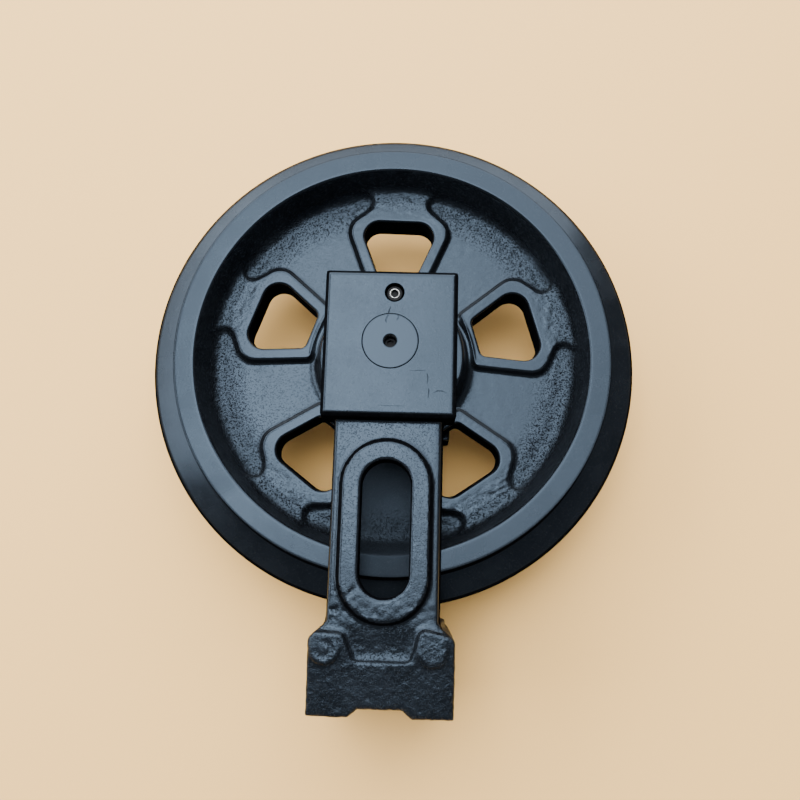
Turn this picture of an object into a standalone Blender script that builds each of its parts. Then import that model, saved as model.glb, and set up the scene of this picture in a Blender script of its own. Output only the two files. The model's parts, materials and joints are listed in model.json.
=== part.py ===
"""Front idler of a small rubber-track excavator, carried in its guide yoke.

A spoked idler wheel with a central guide flange turns on two bronze bushes round a fixed shaft.
The shaft ends sit flush in the two heads of a forked yoke, and a collar screwed into each head
holds the fixed half of a floating face seal against the hub. Behind the wheel the two slotted
arms of the yoke meet in a foot, which the track adjuster pushes.

Metres, +Z up. The shaft stands along Z, the yoke's foot points to -Y, and the origin is on the
shaft's axis in the outer face of the lower head, on which the assembly lies.
"""

from math import cos, pi, radians, sin, sqrt, tan

import bmesh
import bpy
from mathutils import Matrix, Vector

# ---------------------------------------------------------------- overall
GAP = 0.0003                    # clearance between pieces that touch
JOIN_OVERLAP = 0.001            # how deep joined solids run into each other
OVERALL_WIDTH = 0.125           # from head face to head face, the length of the shaft
HALF_WIDTH = OVERALL_WIDTH / 2
MID_PLANE = HALF_WIDTH          # height of the wheel's middle plane above the origin

# ---------------------------------------------------------------- wheel
FLANGE_RADIUS = 0.165
FLANGE_EDGE_RADIUS = 0.1602     # where the flange's sloping side ends
FLANGE_TIP_HALF_WIDTH = 0.0066
FLANGE_EDGE_HALF_WIDTH = 0.0101
FLANGE_ROOT_HALF_WIDTH = 0.0150
FLANGE_FILLET = 0.0019
FLANGE_TIP_ROUND = 0.0015
TREAD_RADIUS = 0.145
RIM_INNER_RADIUS = 0.1311
RIM_HALF_WIDTH = 0.031
RIM_CHAMFER = 0.0008
RIM_INNER_ROUND = 0.0006
WEB_HALF_THICKNESS = 0.008
WEB_OUTER_RADIUS = 0.117        # where the web starts to curve up into the rim
WEB_CURVE = ((0.123, 0.0101), (0.1275, 0.0160))     # radius and height along that curve
HUB_RADIUS = 0.0485
HUB_HALF_WIDTH = 0.024
HUB_FOOT_RADIUS = 0.0505
HUB_FILLET = 0.0075
HUB_BORE_RADIUS = 0.021
HUB_EDGE = 0.0018
WHEEL_STEPS = 64

WINDOW_COUNT = 5
WINDOW_TURN = radians(90 - 1.3)     # direction of the window beside the heads' screws
WINDOW_OUTER = 0.101                # distance of the window's straight outer edge from the axis
WINDOW_INNER = 0.0595
WINDOW_OUTER_HALF = 0.030           # half widths at the sharp corners of the outline
WINDOW_INNER_HALF = 0.0131
WINDOW_OUTER_ROUND = 0.0112
WINDOW_INNER_ROUND = 0.005
WINDOW_DRAFT = 0.0015               # narrowing of a window from its lip to the middle plane
LIP_HALF_THICKNESS = 0.012          # the raised lips stand above the web on both sides
LIP_SLOPE = 0.0022
LIP_HALF_OUTLINE = (                # x, y and rounding of its corners, its neck flaring to the rim
    (0.0187, 0.0510, 0.006),
    (0.0372, 0.0965, 0.010),
    (0.0172, 0.1125, 0.005),
    (0.0185, 0.1185, 0.004),
    (0.0300, 0.1260, 0.001),
)
CUT_PAST = 0.008                    # how far a cutting solid runs past the surface it cuts

# ---------------------------------------------------------------- shaft and bearings
SHAFT_RADIUS = 0.0176
SHAFT_CHAMFER = 0.0005
SHAFT_STEPS = 36
GALLERY_RADIUS = 0.0041
GALLERY_FLOOR = -0.0035
GALLERY_POINT = 0.0015              # height of the drill's point
CROSS_HOLE_RADIUS = 0.0022
PLUG_TOP = HALF_WIDTH - 0.0065
PLUG_LENGTH = 0.006
PLUG_SOCKET = 0.004                 # across flats
PLUG_SOCKET_DEPTH = 0.003
BUSH_INNER_END = 0.0025
SEAL_BAY_FLOOR = 0.0135
SEAL_BAY_RADIUS = 0.0298

# ---------------------------------------------------------------- seals and collars
SEAL_PLANE = 0.0245                 # where the two lapped metal rings of a seal meet
SEAL_RING_BORE = 0.020
SEAL_RING_BODY = 0.0242
SEAL_RING_FACE = 0.0286
SEAL_RING_FACE_THICKNESS = 0.0028
SEAL_RING_SLOPE = 0.0016
SEAL_RING_LENGTH = 0.0098
TORIC_RADIUS = 0.02695
TORIC_SECTION = 0.00235
TORIC_OFFSET = 0.0075               # distance of a toric ring's middle from the seal plane
COLLAR_RADIUS = 0.037
COLLAR_INNER_END = 0.025
COLLAR_CAVITY_FLOOR = 0.0353
COLLAR_OUTER_END = 0.0437
COLLAR_CHAMFER = 0.0005
O_RING_GROOVE_FLOOR = 0.0410
O_RING_GROOVE_RADIUS = 0.021
O_RING_RADIUS = 0.0194
O_RING_SECTION = 0.0012
SEAL_STEPS = 24
COLLAR_STEPS = 32
SMALL_STEPS = 16                    # round holes and pins of a few millimetres

LOCK_PIN_RADIUS = 0.00175
LOCK_PIN_HEIGHT = 0.038
LOCK_PIN_INNER = 0.010
LOCK_PIN_OUTER = 0.0365

# ---------------------------------------------------------------- heads of the yoke
HEAD_HALF_X = 0.0416
HEAD_FRONT = 0.0448
HEAD_REAR = -0.0481
HEAD_CHAMFER = 0.002
HEAD_CORNER = 0.0015                # rounding of the upright edges
YOKE_INNER_PLANE = 0.035            # inner face of heads and arms, 4 mm outside the rim
COLLAR_RECESS_FLOOR = COLLAR_OUTER_END + GAP
SCREW_X = 0.0019
SCREW_Y = 0.0315
COUNTERBORE_RADIUS = 0.0063
COUNTERBORE_DEPTH = 0.0085
SCREW_HEAD_RADIUS = 0.005
SCREW_HEAD_HEIGHT = 0.006
SCREW_SHANK_RADIUS = 0.0029
SCREW_SOCKET = 0.005                # across flats
SCREW_SOCKET_DEPTH = 0.003
SCREW_TIP = 0.0373
SCREW_CHAMFER = 0.0005
SCREW_HOLE_RADIUS = 0.0034
SCREW_STEPS = 20

# ---------------------------------------------------------------- arms of the yoke
ARM_SURFACE = 0.0495
ARM_TOP_HALF = 0.0335
ARM_ROOT_HALF = 0.0352
ARM_EDGE = 0.002
ARM_FRONT = -0.030                  # hidden ends of the arm, inside the head and the foot
ARM_REAR = -0.2065
SLOT_FRONT = -0.0887                # centres of the slot's round ends
SLOT_REAR = -0.1416
SLOT_HALF = 0.0153
BOSS_FRONT = -0.0886                # centres of the raised rim's round ends
BOSS_REAR = -0.1438
BOSS_HALF = 0.0263
BOSS_HEIGHT = 0.0035
BOSS_SLOPE = 0.003

# ---------------------------------------------------------------- foot of the yoke
FOOT_FRONT = -0.171                 # face towards the wheel
FOOT_SHOULDER = -0.1725
FOOT_CORNER = -0.1815
FOOT_REAR = -0.2255
FOOT_HALF_X = 0.044
FOOT_CORNER_CUT = 0.001
FOOT_MIDDLE_PAST = 0.008            # how far the half that is mirrored runs past the middle plane
FOOT_TOP_FRONT = 0.053
FOOT_TOP_REAR = 0.0475
FOOT_TOP_START = -0.1765
NOTCH_DEPTH = 0.0048
NOTCH_FLOOR_HALF = 0.0134
NOTCH_MOUTH_HALF = 0.0188
POCKET_REAR = -0.1938
POCKET_REAR_HALF = 0.0170
POCKET_FRONT_HALF = 0.0225
POCKET_FRONT = -0.1685
POCKET_ROUND = 0.002
POCKET_SLOPE = 0.003
PAD_TOP = 0.0528                    # the low cast pads stand level while the foot falls away
PADS = ((-0.0338, -0.1864, 0.0094), (0.0304, -0.1864, 0.0093))     # x, y, radius

SHARP_EDGE = radians(35)

# ---------------------------------------------------------------- colours
GLOSS_BLACK = (0.012, 0.014, 0.018, 1.0)
MACHINED_BLACK = (0.018, 0.021, 0.026, 1.0)
BLACK_OXIDE = (0.010, 0.010, 0.011, 1.0)
GROUND_STEEL = (0.46, 0.47, 0.48, 1.0)
CHILLED_IRON = (0.30, 0.31, 0.32, 1.0)
BRONZE = (0.52, 0.33, 0.13, 1.0)
RUBBER = (0.014, 0.014, 0.014, 1.0)


# ================================================================ scene helpers
def clear_scene():
    """Start from an empty scene."""
    for item in list(bpy.data.objects):
        bpy.data.objects.remove(item, do_unlink=True)


def make_collection(name):
    """A collection linked to the scene."""
    collection = bpy.data.collections.new(name)
    bpy.context.scene.collection.children.link(collection)
    return collection


def make_material(name, colour, roughness, metallic):
    """A Principled material."""
    material = bpy.data.materials.new(name)
    material.use_nodes = True
    shader = material.node_tree.nodes["Principled BSDF"]
    shader.inputs["Base Color"].default_value = colour
    shader.inputs["Roughness"].default_value = roughness
    shader.inputs["Metallic"].default_value = metallic
    material.diffuse_color = colour
    return material


def add_empty(name, collection):
    """An empty on the shaft's axis in the wheel's middle plane."""
    empty = bpy.data.objects.new(name, None)
    empty.location = (0.0, 0.0, MID_PLANE)
    collection.objects.link(empty)
    return empty


def add_piece(name, mesh, material, parent, collection):
    """A named sub-part on the shaft's axis, modelled about the wheel's middle plane."""
    piece = bpy.data.objects.new(name, mesh)
    collection.objects.link(piece)
    piece.parent = parent
    mesh.materials.clear()
    mesh.materials.append(material)
    return piece


def add_cutter(name, mesh, parent, collection):
    """A hidden solid that other pieces are cut or joined with."""
    cutter = bpy.data.objects.new(name, mesh)
    collection.objects.link(cutter)
    cutter.parent = parent
    cutter.hide_render = True
    cutter.display_type = "WIRE"
    return cutter


def boolean(piece, other, operation):
    """Cut a piece with another solid, or join or intersect the two."""
    modifier = piece.modifiers.new(operation.lower(), "BOOLEAN")
    modifier.operation = operation
    modifier.solver = "EXACT"
    modifier.object = other


def mirror_through_middle(piece):
    """Mirror the upper half of a piece through the wheel's middle plane."""
    modifier = piece.modifiers.new("mirror", "MIRROR")
    modifier.use_axis = (False, False, True)
    modifier.use_bisect_axis = (False, False, True)
    modifier.merge_threshold = 0.0001


# ================================================================ outline helpers
def arc(centre, radius, start, end, count):
    """Points on an arc, angles in degrees, both ends included."""
    angles = [radians(start + (end - start) * i / count) for i in range(count + 1)]
    return [(centre[0] + radius * cos(a), centre[1] + radius * sin(a)) for a in angles]


def offset_outline(corners, distance):
    """Move every edge of a counter-clockwise outline of (x, y, radius) corners outwards."""
    moved = []
    for i, (x, y, radius) in enumerate(corners):
        before = Vector(corners[i - 1][:2])
        here = Vector((x, y))
        after = Vector(corners[(i + 1) % len(corners)][:2])
        edge_in = (here - before).normalized()
        edge_out = (after - here).normalized()
        normal_in = Vector((edge_in.y, -edge_in.x))
        normal_out = Vector((edge_out.y, -edge_out.x))
        shift = (normal_in + normal_out) * distance / (1 + normal_in.dot(normal_out))
        convex = edge_in.x * edge_out.y - edge_in.y * edge_out.x > 0
        new_radius = radius + distance if convex else radius - distance
        moved.append((here.x + shift.x, here.y + shift.y, max(new_radius, 0.0005)))
    return moved


def round_outline(corners, arc_points):
    """Replace each (x, y, radius) corner by an arc of the same number of points."""
    points = []
    for i, (x, y, radius) in enumerate(corners):
        here = Vector((x, y))
        to_before = (Vector(corners[i - 1][:2]) - here).normalized()
        to_after = (Vector(corners[(i + 1) % len(corners)][:2]) - here).normalized()
        half_angle = to_before.angle(to_after) / 2
        tangent = radius / tan(half_angle)
        centre = here + (to_before + to_after).normalized() * radius / sin(half_angle)
        first = here + to_before * tangent - centre
        last = here + to_after * tangent - centre
        sweep = first.angle_signed(last)
        for k in range(arc_points + 1):
            turned = first.copy()
            turned.rotate(Matrix.Rotation(-sweep * k / arc_points, 2))
            points.append(tuple(centre + turned))
    return points


def obround(front, rear, half_width, count):
    """A slot outline with round ends, counter-clockwise."""
    return arc((0, front), half_width, 0, 180, count) + arc((0, rear), half_width, 180, 360, count)


# ================================================================ mesh helpers
def loft(name, outlines):
    """A closed solid through (height, outline) levels whose outlines have equal point counts."""
    shape = bmesh.new()
    rings = [[shape.verts.new((x, y, height)) for x, y in outline] for height, outline in outlines]
    for lower, upper in zip(rings, rings[1:]):
        for i in range(len(lower)):
            k = (i + 1) % len(lower)
            shape.faces.new((lower[i], lower[k], upper[k], upper[i]))
    shape.faces.new(list(reversed(rings[0])))
    shape.faces.new(rings[-1])
    return finish_mesh(name, shape)


def finish_mesh(name, shape):
    """Turn a bmesh into a mesh with its faces pointing out."""
    bmesh.ops.recalc_face_normals(shape, faces=shape.faces)
    mesh = bpy.data.meshes.new(name)
    shape.to_mesh(mesh)
    shape.free()
    return mesh


def cylinder(name, radius, start, end, steps):
    """A cylinder between two points."""
    start = Vector(start)
    end = Vector(end)
    shape = bmesh.new()
    bmesh.ops.create_cone(shape, cap_ends=True, segments=steps, radius1=radius, radius2=radius,
                          depth=(end - start).length)
    direction = (end - start).to_track_quat("Z", "X").to_matrix().to_4x4()
    place = Matrix.Translation((start + end) / 2) @ direction
    bmesh.ops.transform(shape, matrix=place, verts=shape.verts)
    return finish_mesh(name, shape)


def plate(name, outline, low, high):
    """A flat outline in X and Y, extruded between two heights."""
    curve = bpy.data.curves.new(name, "CURVE")
    curve.dimensions = "2D"
    curve.fill_mode = "BOTH"
    curve.extrude = (high - low) / 2
    spline = curve.splines.new("POLY")
    spline.points.add(len(outline) - 1)
    for point, (x, y) in zip(spline.points, outline):
        point.co = (x, y, 0.0, 1.0)
    spline.use_cyclic_u = True
    carrier = bpy.data.objects.new(name, curve)
    bpy.context.scene.collection.objects.link(carrier)
    bpy.context.view_layer.update()
    evaluated = carrier.evaluated_get(bpy.context.evaluated_depsgraph_get())
    mesh = bpy.data.meshes.new_from_object(evaluated)
    bpy.data.objects.remove(carrier, do_unlink=True)
    shape = bmesh.new()
    shape.from_mesh(mesh)
    bmesh.ops.remove_doubles(shape, verts=shape.verts, dist=0.00001)
    bmesh.ops.translate(shape, verts=shape.verts, vec=(0.0, 0.0, (low + high) / 2))
    return finish_mesh(name, shape)


def profile_mesh(name, profile):
    """The closed section of a turned piece, or an open one that ends on the axis."""
    mesh = bpy.data.meshes.new(name)
    count = len(profile)
    on_axis = profile[0][0] == 0.0 and profile[-1][0] == 0.0
    edges = [(i, (i + 1) % count) for i in range(count - 1 if on_axis else count)]
    mesh.from_pydata([(radius, 0.0, height) for radius, height in profile], edges, [])
    return mesh


def turn(piece, steps):
    """Turn a profile round Z."""
    modifier = piece.modifiers.new("turned", "SCREW")
    modifier.steps = steps
    modifier.render_steps = steps
    modifier.use_merge_vertices = True
    modifier.merge_threshold = 0.00001
    modifier.use_smooth_shade = True


def flip(profile, plane=0.0):
    """The mirror image of a section in a plane, with its direction kept."""
    return [(radius, 2 * plane - height) for radius, height in reversed(profile)]


# ================================================================ wheel
def wheel_profile():
    """Section of the wheel without its windows."""
    fillet_centre = (HUB_FOOT_RADIUS + HUB_FILLET, WEB_HALF_THICKNESS + HUB_FILLET)
    hub_fillet = arc(fillet_centre, HUB_FILLET, 180, 270, 2)
    upper = [
        (HUB_BORE_RADIUS, SEAL_BAY_FLOOR),
        (SEAL_BAY_RADIUS, SEAL_BAY_FLOOR),
        (SEAL_BAY_RADIUS, HUB_HALF_WIDTH),
        (HUB_RADIUS - HUB_EDGE, HUB_HALF_WIDTH),
        (HUB_RADIUS, HUB_HALF_WIDTH - HUB_EDGE),
        *hub_fillet,
        (WEB_OUTER_RADIUS, WEB_HALF_THICKNESS),
        *WEB_CURVE,
        (RIM_INNER_RADIUS - RIM_INNER_ROUND, RIM_HALF_WIDTH - 2 * RIM_INNER_ROUND),
        (RIM_INNER_RADIUS + RIM_INNER_ROUND, RIM_HALF_WIDTH),
        (TREAD_RADIUS - RIM_CHAMFER, RIM_HALF_WIDTH),
        (TREAD_RADIUS, RIM_HALF_WIDTH - RIM_CHAMFER),
        (TREAD_RADIUS, FLANGE_ROOT_HALF_WIDTH + FLANGE_FILLET),
        (TREAD_RADIUS + FLANGE_FILLET, FLANGE_ROOT_HALF_WIDTH - FLANGE_FILLET / 4),
        (FLANGE_EDGE_RADIUS, FLANGE_EDGE_HALF_WIDTH),
        (FLANGE_RADIUS - FLANGE_TIP_ROUND, FLANGE_TIP_HALF_WIDTH + FLANGE_TIP_ROUND),
        (FLANGE_RADIUS, FLANGE_TIP_HALF_WIDTH - FLANGE_TIP_ROUND / 2),
    ]
    return upper + flip(upper)


def window_outline(offset):
    """Outline of a window that points along +Y, moved outwards by an offset."""
    corners = [
        (-WINDOW_INNER_HALF, WINDOW_INNER, WINDOW_INNER_ROUND),
        (WINDOW_INNER_HALF, WINDOW_INNER, WINDOW_INNER_ROUND),
        (WINDOW_OUTER_HALF, WINDOW_OUTER, WINDOW_OUTER_ROUND),
        (-WINDOW_OUTER_HALF, WINDOW_OUTER, WINDOW_OUTER_ROUND),
    ]
    return round_outline(offset_outline(corners, offset), 4)


def lip_outline(offset):
    """Outline of the raised lip round a window, with the neck that flares into the rim."""
    other_half = [(-x, y, radius) for x, y, radius in reversed(LIP_HALF_OUTLINE)]
    return round_outline(offset_outline([*LIP_HALF_OUTLINE, *other_half], offset), 4)


def window_cutter_mesh():
    """A window's hollow, which narrows from both lips to the middle plane."""
    depth = LIP_HALF_THICKNESS + CUT_PAST
    wide = WINDOW_DRAFT * CUT_PAST / LIP_HALF_THICKNESS
    levels = [(-depth, window_outline(wide)), (0.0, window_outline(-WINDOW_DRAFT)),
              (depth, window_outline(wide))]
    return loft("window_cutter", levels)


def lip_mesh():
    """The lips of one window on both sides of the web, as one solid through the web."""
    base = WEB_HALF_THICKNESS - JOIN_OVERLAP
    levels = [(-LIP_HALF_THICKNESS, lip_outline(0.0)), (-base, lip_outline(LIP_SLOPE)),
              (base, lip_outline(LIP_SLOPE)), (LIP_HALF_THICKNESS, lip_outline(0.0))]
    return loft("window_lip", levels)


def build_wheel(parent, material, parts, cutters):
    """The idler wheel: a turned body with five lipped windows."""
    wheel = add_piece("idler_wheel", profile_mesh("idler_wheel", wheel_profile()), material,
                      parent, parts)
    turn(wheel, WHEEL_STEPS)
    lip = lip_mesh()
    hollow = window_cutter_mesh()
    turns = [WINDOW_TURN - pi / 2 + 2 * pi * i / WINDOW_COUNT for i in range(WINDOW_COUNT)]
    for i, angle in enumerate(turns):
        joined = add_cutter(f"window_lip_{i + 1}", lip, parent, cutters)
        joined.rotation_euler.z = angle
        boolean(wheel, joined, "UNION")
    for i, angle in enumerate(turns):
        cut = add_cutter(f"window_cutter_{i + 1}", hollow, parent, cutters)
        cut.rotation_euler.z = angle
        boolean(wheel, cut, "DIFFERENCE")


# ================================================================ bearings and seals
def build_bush(side, name, parent, material, parts):
    """A bronze bush in the hub; side is 1 for the upper one and -1 for the lower one."""
    inner = SHAFT_RADIUS + GAP
    outer = HUB_BORE_RADIUS - GAP
    top = SEAL_BAY_FLOOR - GAP
    section = [(inner, top), (outer, top), (outer, BUSH_INNER_END), (inner, BUSH_INNER_END)]
    section = section if side > 0 else flip(section)
    bush = add_piece(name, profile_mesh(name, section), material, parent, parts)
    turn(bush, SHAFT_STEPS)


def seal_ring_section():
    """Section of the turning metal ring of the upper seal, its lapped face on top."""
    face = SEAL_PLANE - GAP / 2
    back = face - SEAL_RING_LENGTH
    return [
        (SEAL_RING_BORE, face),
        (SEAL_RING_FACE, face),
        (SEAL_RING_FACE, face - SEAL_RING_FACE_THICKNESS),
        (SEAL_RING_BODY, face - SEAL_RING_FACE_THICKNESS - SEAL_RING_SLOPE),
        (SEAL_RING_BODY, back),
        (SEAL_RING_BORE, back),
    ]


def build_seal_ring(side, fixed, name, parent, material, parts):
    """One lapped metal ring of a floating face seal."""
    section = seal_ring_section()
    if fixed:
        section = flip(section, SEAL_PLANE)
    if side < 0:
        section = flip(section)
    ring = add_piece(name, profile_mesh(name, section), material, parent, parts)
    turn(ring, SEAL_STEPS)


def build_round_ring(name, radius, section, height, parent, material, parts):
    """A rubber ring of round section."""
    circle = arc((radius, height), section, 360, 0, 6)[:-1]
    ring = add_piece(name, profile_mesh(name, circle), material, parent, parts)
    turn(ring, SEAL_STEPS)


def build_collar(side, name, parent, material, parts, cutters):
    """The collar that locates in a head and carries the fixed half of a seal."""
    bore = SHAFT_RADIUS + GAP
    section = [
        (O_RING_GROOVE_RADIUS, COLLAR_OUTER_END),
        (COLLAR_RADIUS - COLLAR_CHAMFER, COLLAR_OUTER_END),
        (COLLAR_RADIUS, COLLAR_OUTER_END - COLLAR_CHAMFER),
        (COLLAR_RADIUS, COLLAR_INNER_END + 2 * COLLAR_CHAMFER),
        (COLLAR_RADIUS - 2 * COLLAR_CHAMFER, COLLAR_INNER_END),
        (SEAL_BAY_RADIUS, COLLAR_INNER_END),
        (SEAL_BAY_RADIUS, COLLAR_CAVITY_FLOOR),
        (bore, COLLAR_CAVITY_FLOOR),
        (bore, O_RING_GROOVE_FLOOR),
        (O_RING_GROOVE_RADIUS, O_RING_GROOVE_FLOOR),
    ]
    section = section if side > 0 else flip(section)
    collar = add_piece(name, profile_mesh(name, section), material, parent, parts)
    turn(collar, COLLAR_STEPS)
    thread = cylinder(name + "_thread", SCREW_SHANK_RADIUS + GAP,
                      (SCREW_X, SCREW_Y, side * (SCREW_TIP - GAP)),
                      (SCREW_X, SCREW_Y, side * (COLLAR_OUTER_END + CUT_PAST)), SMALL_STEPS)
    boolean(collar, add_cutter(name + "_thread", thread, parent, cutters), "DIFFERENCE")
    height = side * LOCK_PIN_HEIGHT
    hole = cylinder(name + "_pin_hole", LOCK_PIN_RADIUS + GAP, (LOCK_PIN_INNER, 0.0, height),
                    (COLLAR_RADIUS + CUT_PAST, 0.0, height), SMALL_STEPS)
    boolean(collar, add_cutter(name + "_pin_hole", hole, parent, cutters), "DIFFERENCE")


def build_lock_pin(side, name, parent, material, parts):
    """The pin that keeps the shaft from turning in its collar."""
    height = side * LOCK_PIN_HEIGHT
    mesh = cylinder(name, LOCK_PIN_RADIUS, (LOCK_PIN_INNER, 0.0, height),
                    (LOCK_PIN_OUTER, 0.0, height), SMALL_STEPS)
    add_piece(name, mesh, material, parent, parts)


# ================================================================ shaft, plug and screws
def build_shaft(parent, material, parts, cutters):
    """The fixed shaft, with an oil gallery from its upper end to a cross hole."""
    edge = SHAFT_RADIUS - SHAFT_CHAMFER
    end = HALF_WIDTH - SHAFT_CHAMFER
    section = [
        (0.0, GALLERY_FLOOR),
        (GALLERY_RADIUS, GALLERY_FLOOR + GALLERY_POINT),
        (GALLERY_RADIUS, HALF_WIDTH),
        (edge, HALF_WIDTH),
        (SHAFT_RADIUS, end),
        (SHAFT_RADIUS, -end),
        (edge, -HALF_WIDTH),
        (0.0, -HALF_WIDTH),
    ]
    shaft = add_piece("axle_shaft", profile_mesh("axle_shaft", section), material, parent, parts)
    turn(shaft, SHAFT_STEPS)
    reach = SHAFT_RADIUS + CUT_PAST
    cross = cylinder("oil_cross_hole", CROSS_HOLE_RADIUS, (0.0, -reach, 0.0), (0.0, reach, 0.0), 12)
    boolean(shaft, add_cutter("oil_cross_hole", cross, parent, cutters), "DIFFERENCE")
    for side in (1, -1):
        height = side * LOCK_PIN_HEIGHT
        name = "shaft_pin_hole_upper" if side > 0 else "shaft_pin_hole_lower"
        hole = cylinder(name, LOCK_PIN_RADIUS + GAP, (LOCK_PIN_INNER - GAP, 0.0, height),
                        (reach, 0.0, height), SMALL_STEPS)
        boolean(shaft, add_cutter(name, hole, parent, cutters), "DIFFERENCE")


def hexagon_cutter(name, across_flats, place, top, depth, parent, cutters):
    """A hexagon socket that opens upwards for a positive depth, downwards for a negative one."""
    x, y = place
    mesh = cylinder(name, across_flats / sqrt(3), (x, y, top - depth), (x, y, top + depth / 2), 6)
    return add_cutter(name, mesh, parent, cutters)


def build_plug(parent, material, parts, cutters):
    """The plug that closes the oil gallery, a little way down the shaft."""
    radius = GALLERY_RADIUS - GAP
    mesh = cylinder("oil_filler_plug", radius, (0, 0, PLUG_TOP - PLUG_LENGTH), (0, 0, PLUG_TOP), 24)
    plug = add_piece("oil_filler_plug", mesh, material, parent, parts)
    socket = hexagon_cutter("plug_socket", PLUG_SOCKET, (0, 0), PLUG_TOP, PLUG_SOCKET_DEPTH,
                            parent, cutters)
    boolean(plug, socket, "DIFFERENCE")


def build_screw(side, name, parent, material, parts, cutters):
    """The socket-head cap screw that holds a collar in its head."""
    head_bottom = HALF_WIDTH - COUNTERBORE_DEPTH + GAP
    head_top = head_bottom + SCREW_HEAD_HEIGHT
    section = [
        (0.0, head_top),
        (SCREW_HEAD_RADIUS - SCREW_CHAMFER, head_top),
        (SCREW_HEAD_RADIUS, head_top - SCREW_CHAMFER),
        (SCREW_HEAD_RADIUS, head_bottom),
        (SCREW_SHANK_RADIUS, head_bottom),
        (SCREW_SHANK_RADIUS, SCREW_TIP + SCREW_CHAMFER),
        (SCREW_SHANK_RADIUS - SCREW_CHAMFER, SCREW_TIP),
        (0.0, SCREW_TIP),
    ]
    section = section if side > 0 else flip(section)
    screw = add_piece(name, profile_mesh(name, section), material, parent, parts)
    screw.location = (SCREW_X, SCREW_Y, 0.0)
    turn(screw, SCREW_STEPS)
    socket = hexagon_cutter(name + "_socket", SCREW_SOCKET, (SCREW_X, SCREW_Y), side * head_top,
                            side * SCREW_SOCKET_DEPTH, parent, cutters)
    boolean(screw, socket, "DIFFERENCE")


# ================================================================ yoke
def head_mesh():
    """A head: a square block with its outer edges chamfered."""
    corners = [
        (HEAD_HALF_X, HEAD_REAR, HEAD_CORNER),
        (HEAD_HALF_X, HEAD_FRONT, HEAD_CORNER),
        (-HEAD_HALF_X, HEAD_FRONT, HEAD_CORNER),
        (-HEAD_HALF_X, HEAD_REAR, HEAD_CORNER),
    ]
    full = round_outline(corners, 2)
    small = round_outline(offset_outline(corners, -HEAD_CHAMFER), 2)
    return loft("head", [(YOKE_INNER_PLANE, full), (HALF_WIDTH - HEAD_CHAMFER, full),
                         (HALF_WIDTH, small)])


def arm_mesh():
    """An arm from under the head into the foot, narrower at its outer surface."""
    levels = []
    for height, half in ((YOKE_INNER_PLANE, ARM_ROOT_HALF), (ARM_SURFACE - ARM_EDGE, ARM_TOP_HALF),
                         (ARM_SURFACE, ARM_TOP_HALF - ARM_EDGE)):
        levels.append((height, [(half, ARM_REAR), (half, ARM_FRONT), (-half, ARM_FRONT),
                                (-half, ARM_REAR)]))
    return loft("arm", levels)


def foot_outline():
    """Outline of the foot seen along the shaft, with its shoulders and rear notch."""
    half = [
        (NOTCH_FLOOR_HALF, FOOT_REAR + NOTCH_DEPTH),
        (NOTCH_MOUTH_HALF, FOOT_REAR),
        (FOOT_HALF_X, FOOT_REAR),
        (FOOT_HALF_X, FOOT_CORNER),
        (FOOT_HALF_X - FOOT_CORNER_CUT, FOOT_CORNER + 2 * FOOT_CORNER_CUT),
        (ARM_ROOT_HALF, FOOT_SHOULDER),
        (ARM_ROOT_HALF, FOOT_FRONT),
    ]
    return half + [(-x, y) for x, y in reversed(half)]


def foot_side_mesh():
    """The foot's shape seen along X, from its step behind the arms to the lower rear end."""
    width = FOOT_HALF_X + CUT_PAST
    below = -FOOT_MIDDLE_PAST - CUT_PAST
    arm_level = ARM_SURFACE - JOIN_OVERLAP / 2
    side = [
        (below, FOOT_FRONT + CUT_PAST),
        (arm_level, FOOT_FRONT + CUT_PAST),
        (arm_level, FOOT_SHOULDER - JOIN_OVERLAP),
        (FOOT_TOP_FRONT, FOOT_TOP_START),
        (FOOT_TOP_REAR, FOOT_REAR),
        (below, FOOT_REAR - JOIN_OVERLAP),
    ]
    mesh = plate("foot_side", side, -width, width)
    mesh.transform(Matrix.Rotation(-pi / 2, 4, "Y"))
    return mesh


def pocket_mesh():
    """The trapezoid pocket in which an arm's surface runs into the foot."""
    corners = [
        (-POCKET_REAR_HALF, POCKET_REAR, POCKET_ROUND),
        (POCKET_REAR_HALF, POCKET_REAR, POCKET_ROUND),
        (POCKET_FRONT_HALF, POCKET_FRONT, POCKET_ROUND),
        (-POCKET_FRONT_HALF, POCKET_FRONT, POCKET_ROUND),
    ]
    low = round_outline(offset_outline(corners, -POCKET_SLOPE / 2), 3)
    high = round_outline(offset_outline(corners, POCKET_SLOPE / 2), 3)
    return loft("pocket", [(ARM_SURFACE, low), (ARM_SURFACE + CUT_PAST, high)])


def boss_mesh():
    """The raised rim round an arm's slot."""
    base = obround(BOSS_FRONT, BOSS_REAR, BOSS_HALF + BOSS_SLOPE, 12)
    top = obround(BOSS_FRONT, BOSS_REAR, BOSS_HALF, 12)
    return loft("slot_boss", [(YOKE_INNER_PLANE + JOIN_OVERLAP, base),
                              (ARM_SURFACE - JOIN_OVERLAP / 2, base),
                              (ARM_SURFACE + BOSS_HEIGHT, top)])


def slot_mesh():
    """The slot through an arm."""
    outline = obround(SLOT_FRONT, SLOT_REAR, SLOT_HALF, 12)
    return plate("slot", outline, YOKE_INNER_PLANE - CUT_PAST, ARM_SURFACE + CUT_PAST)


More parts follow.
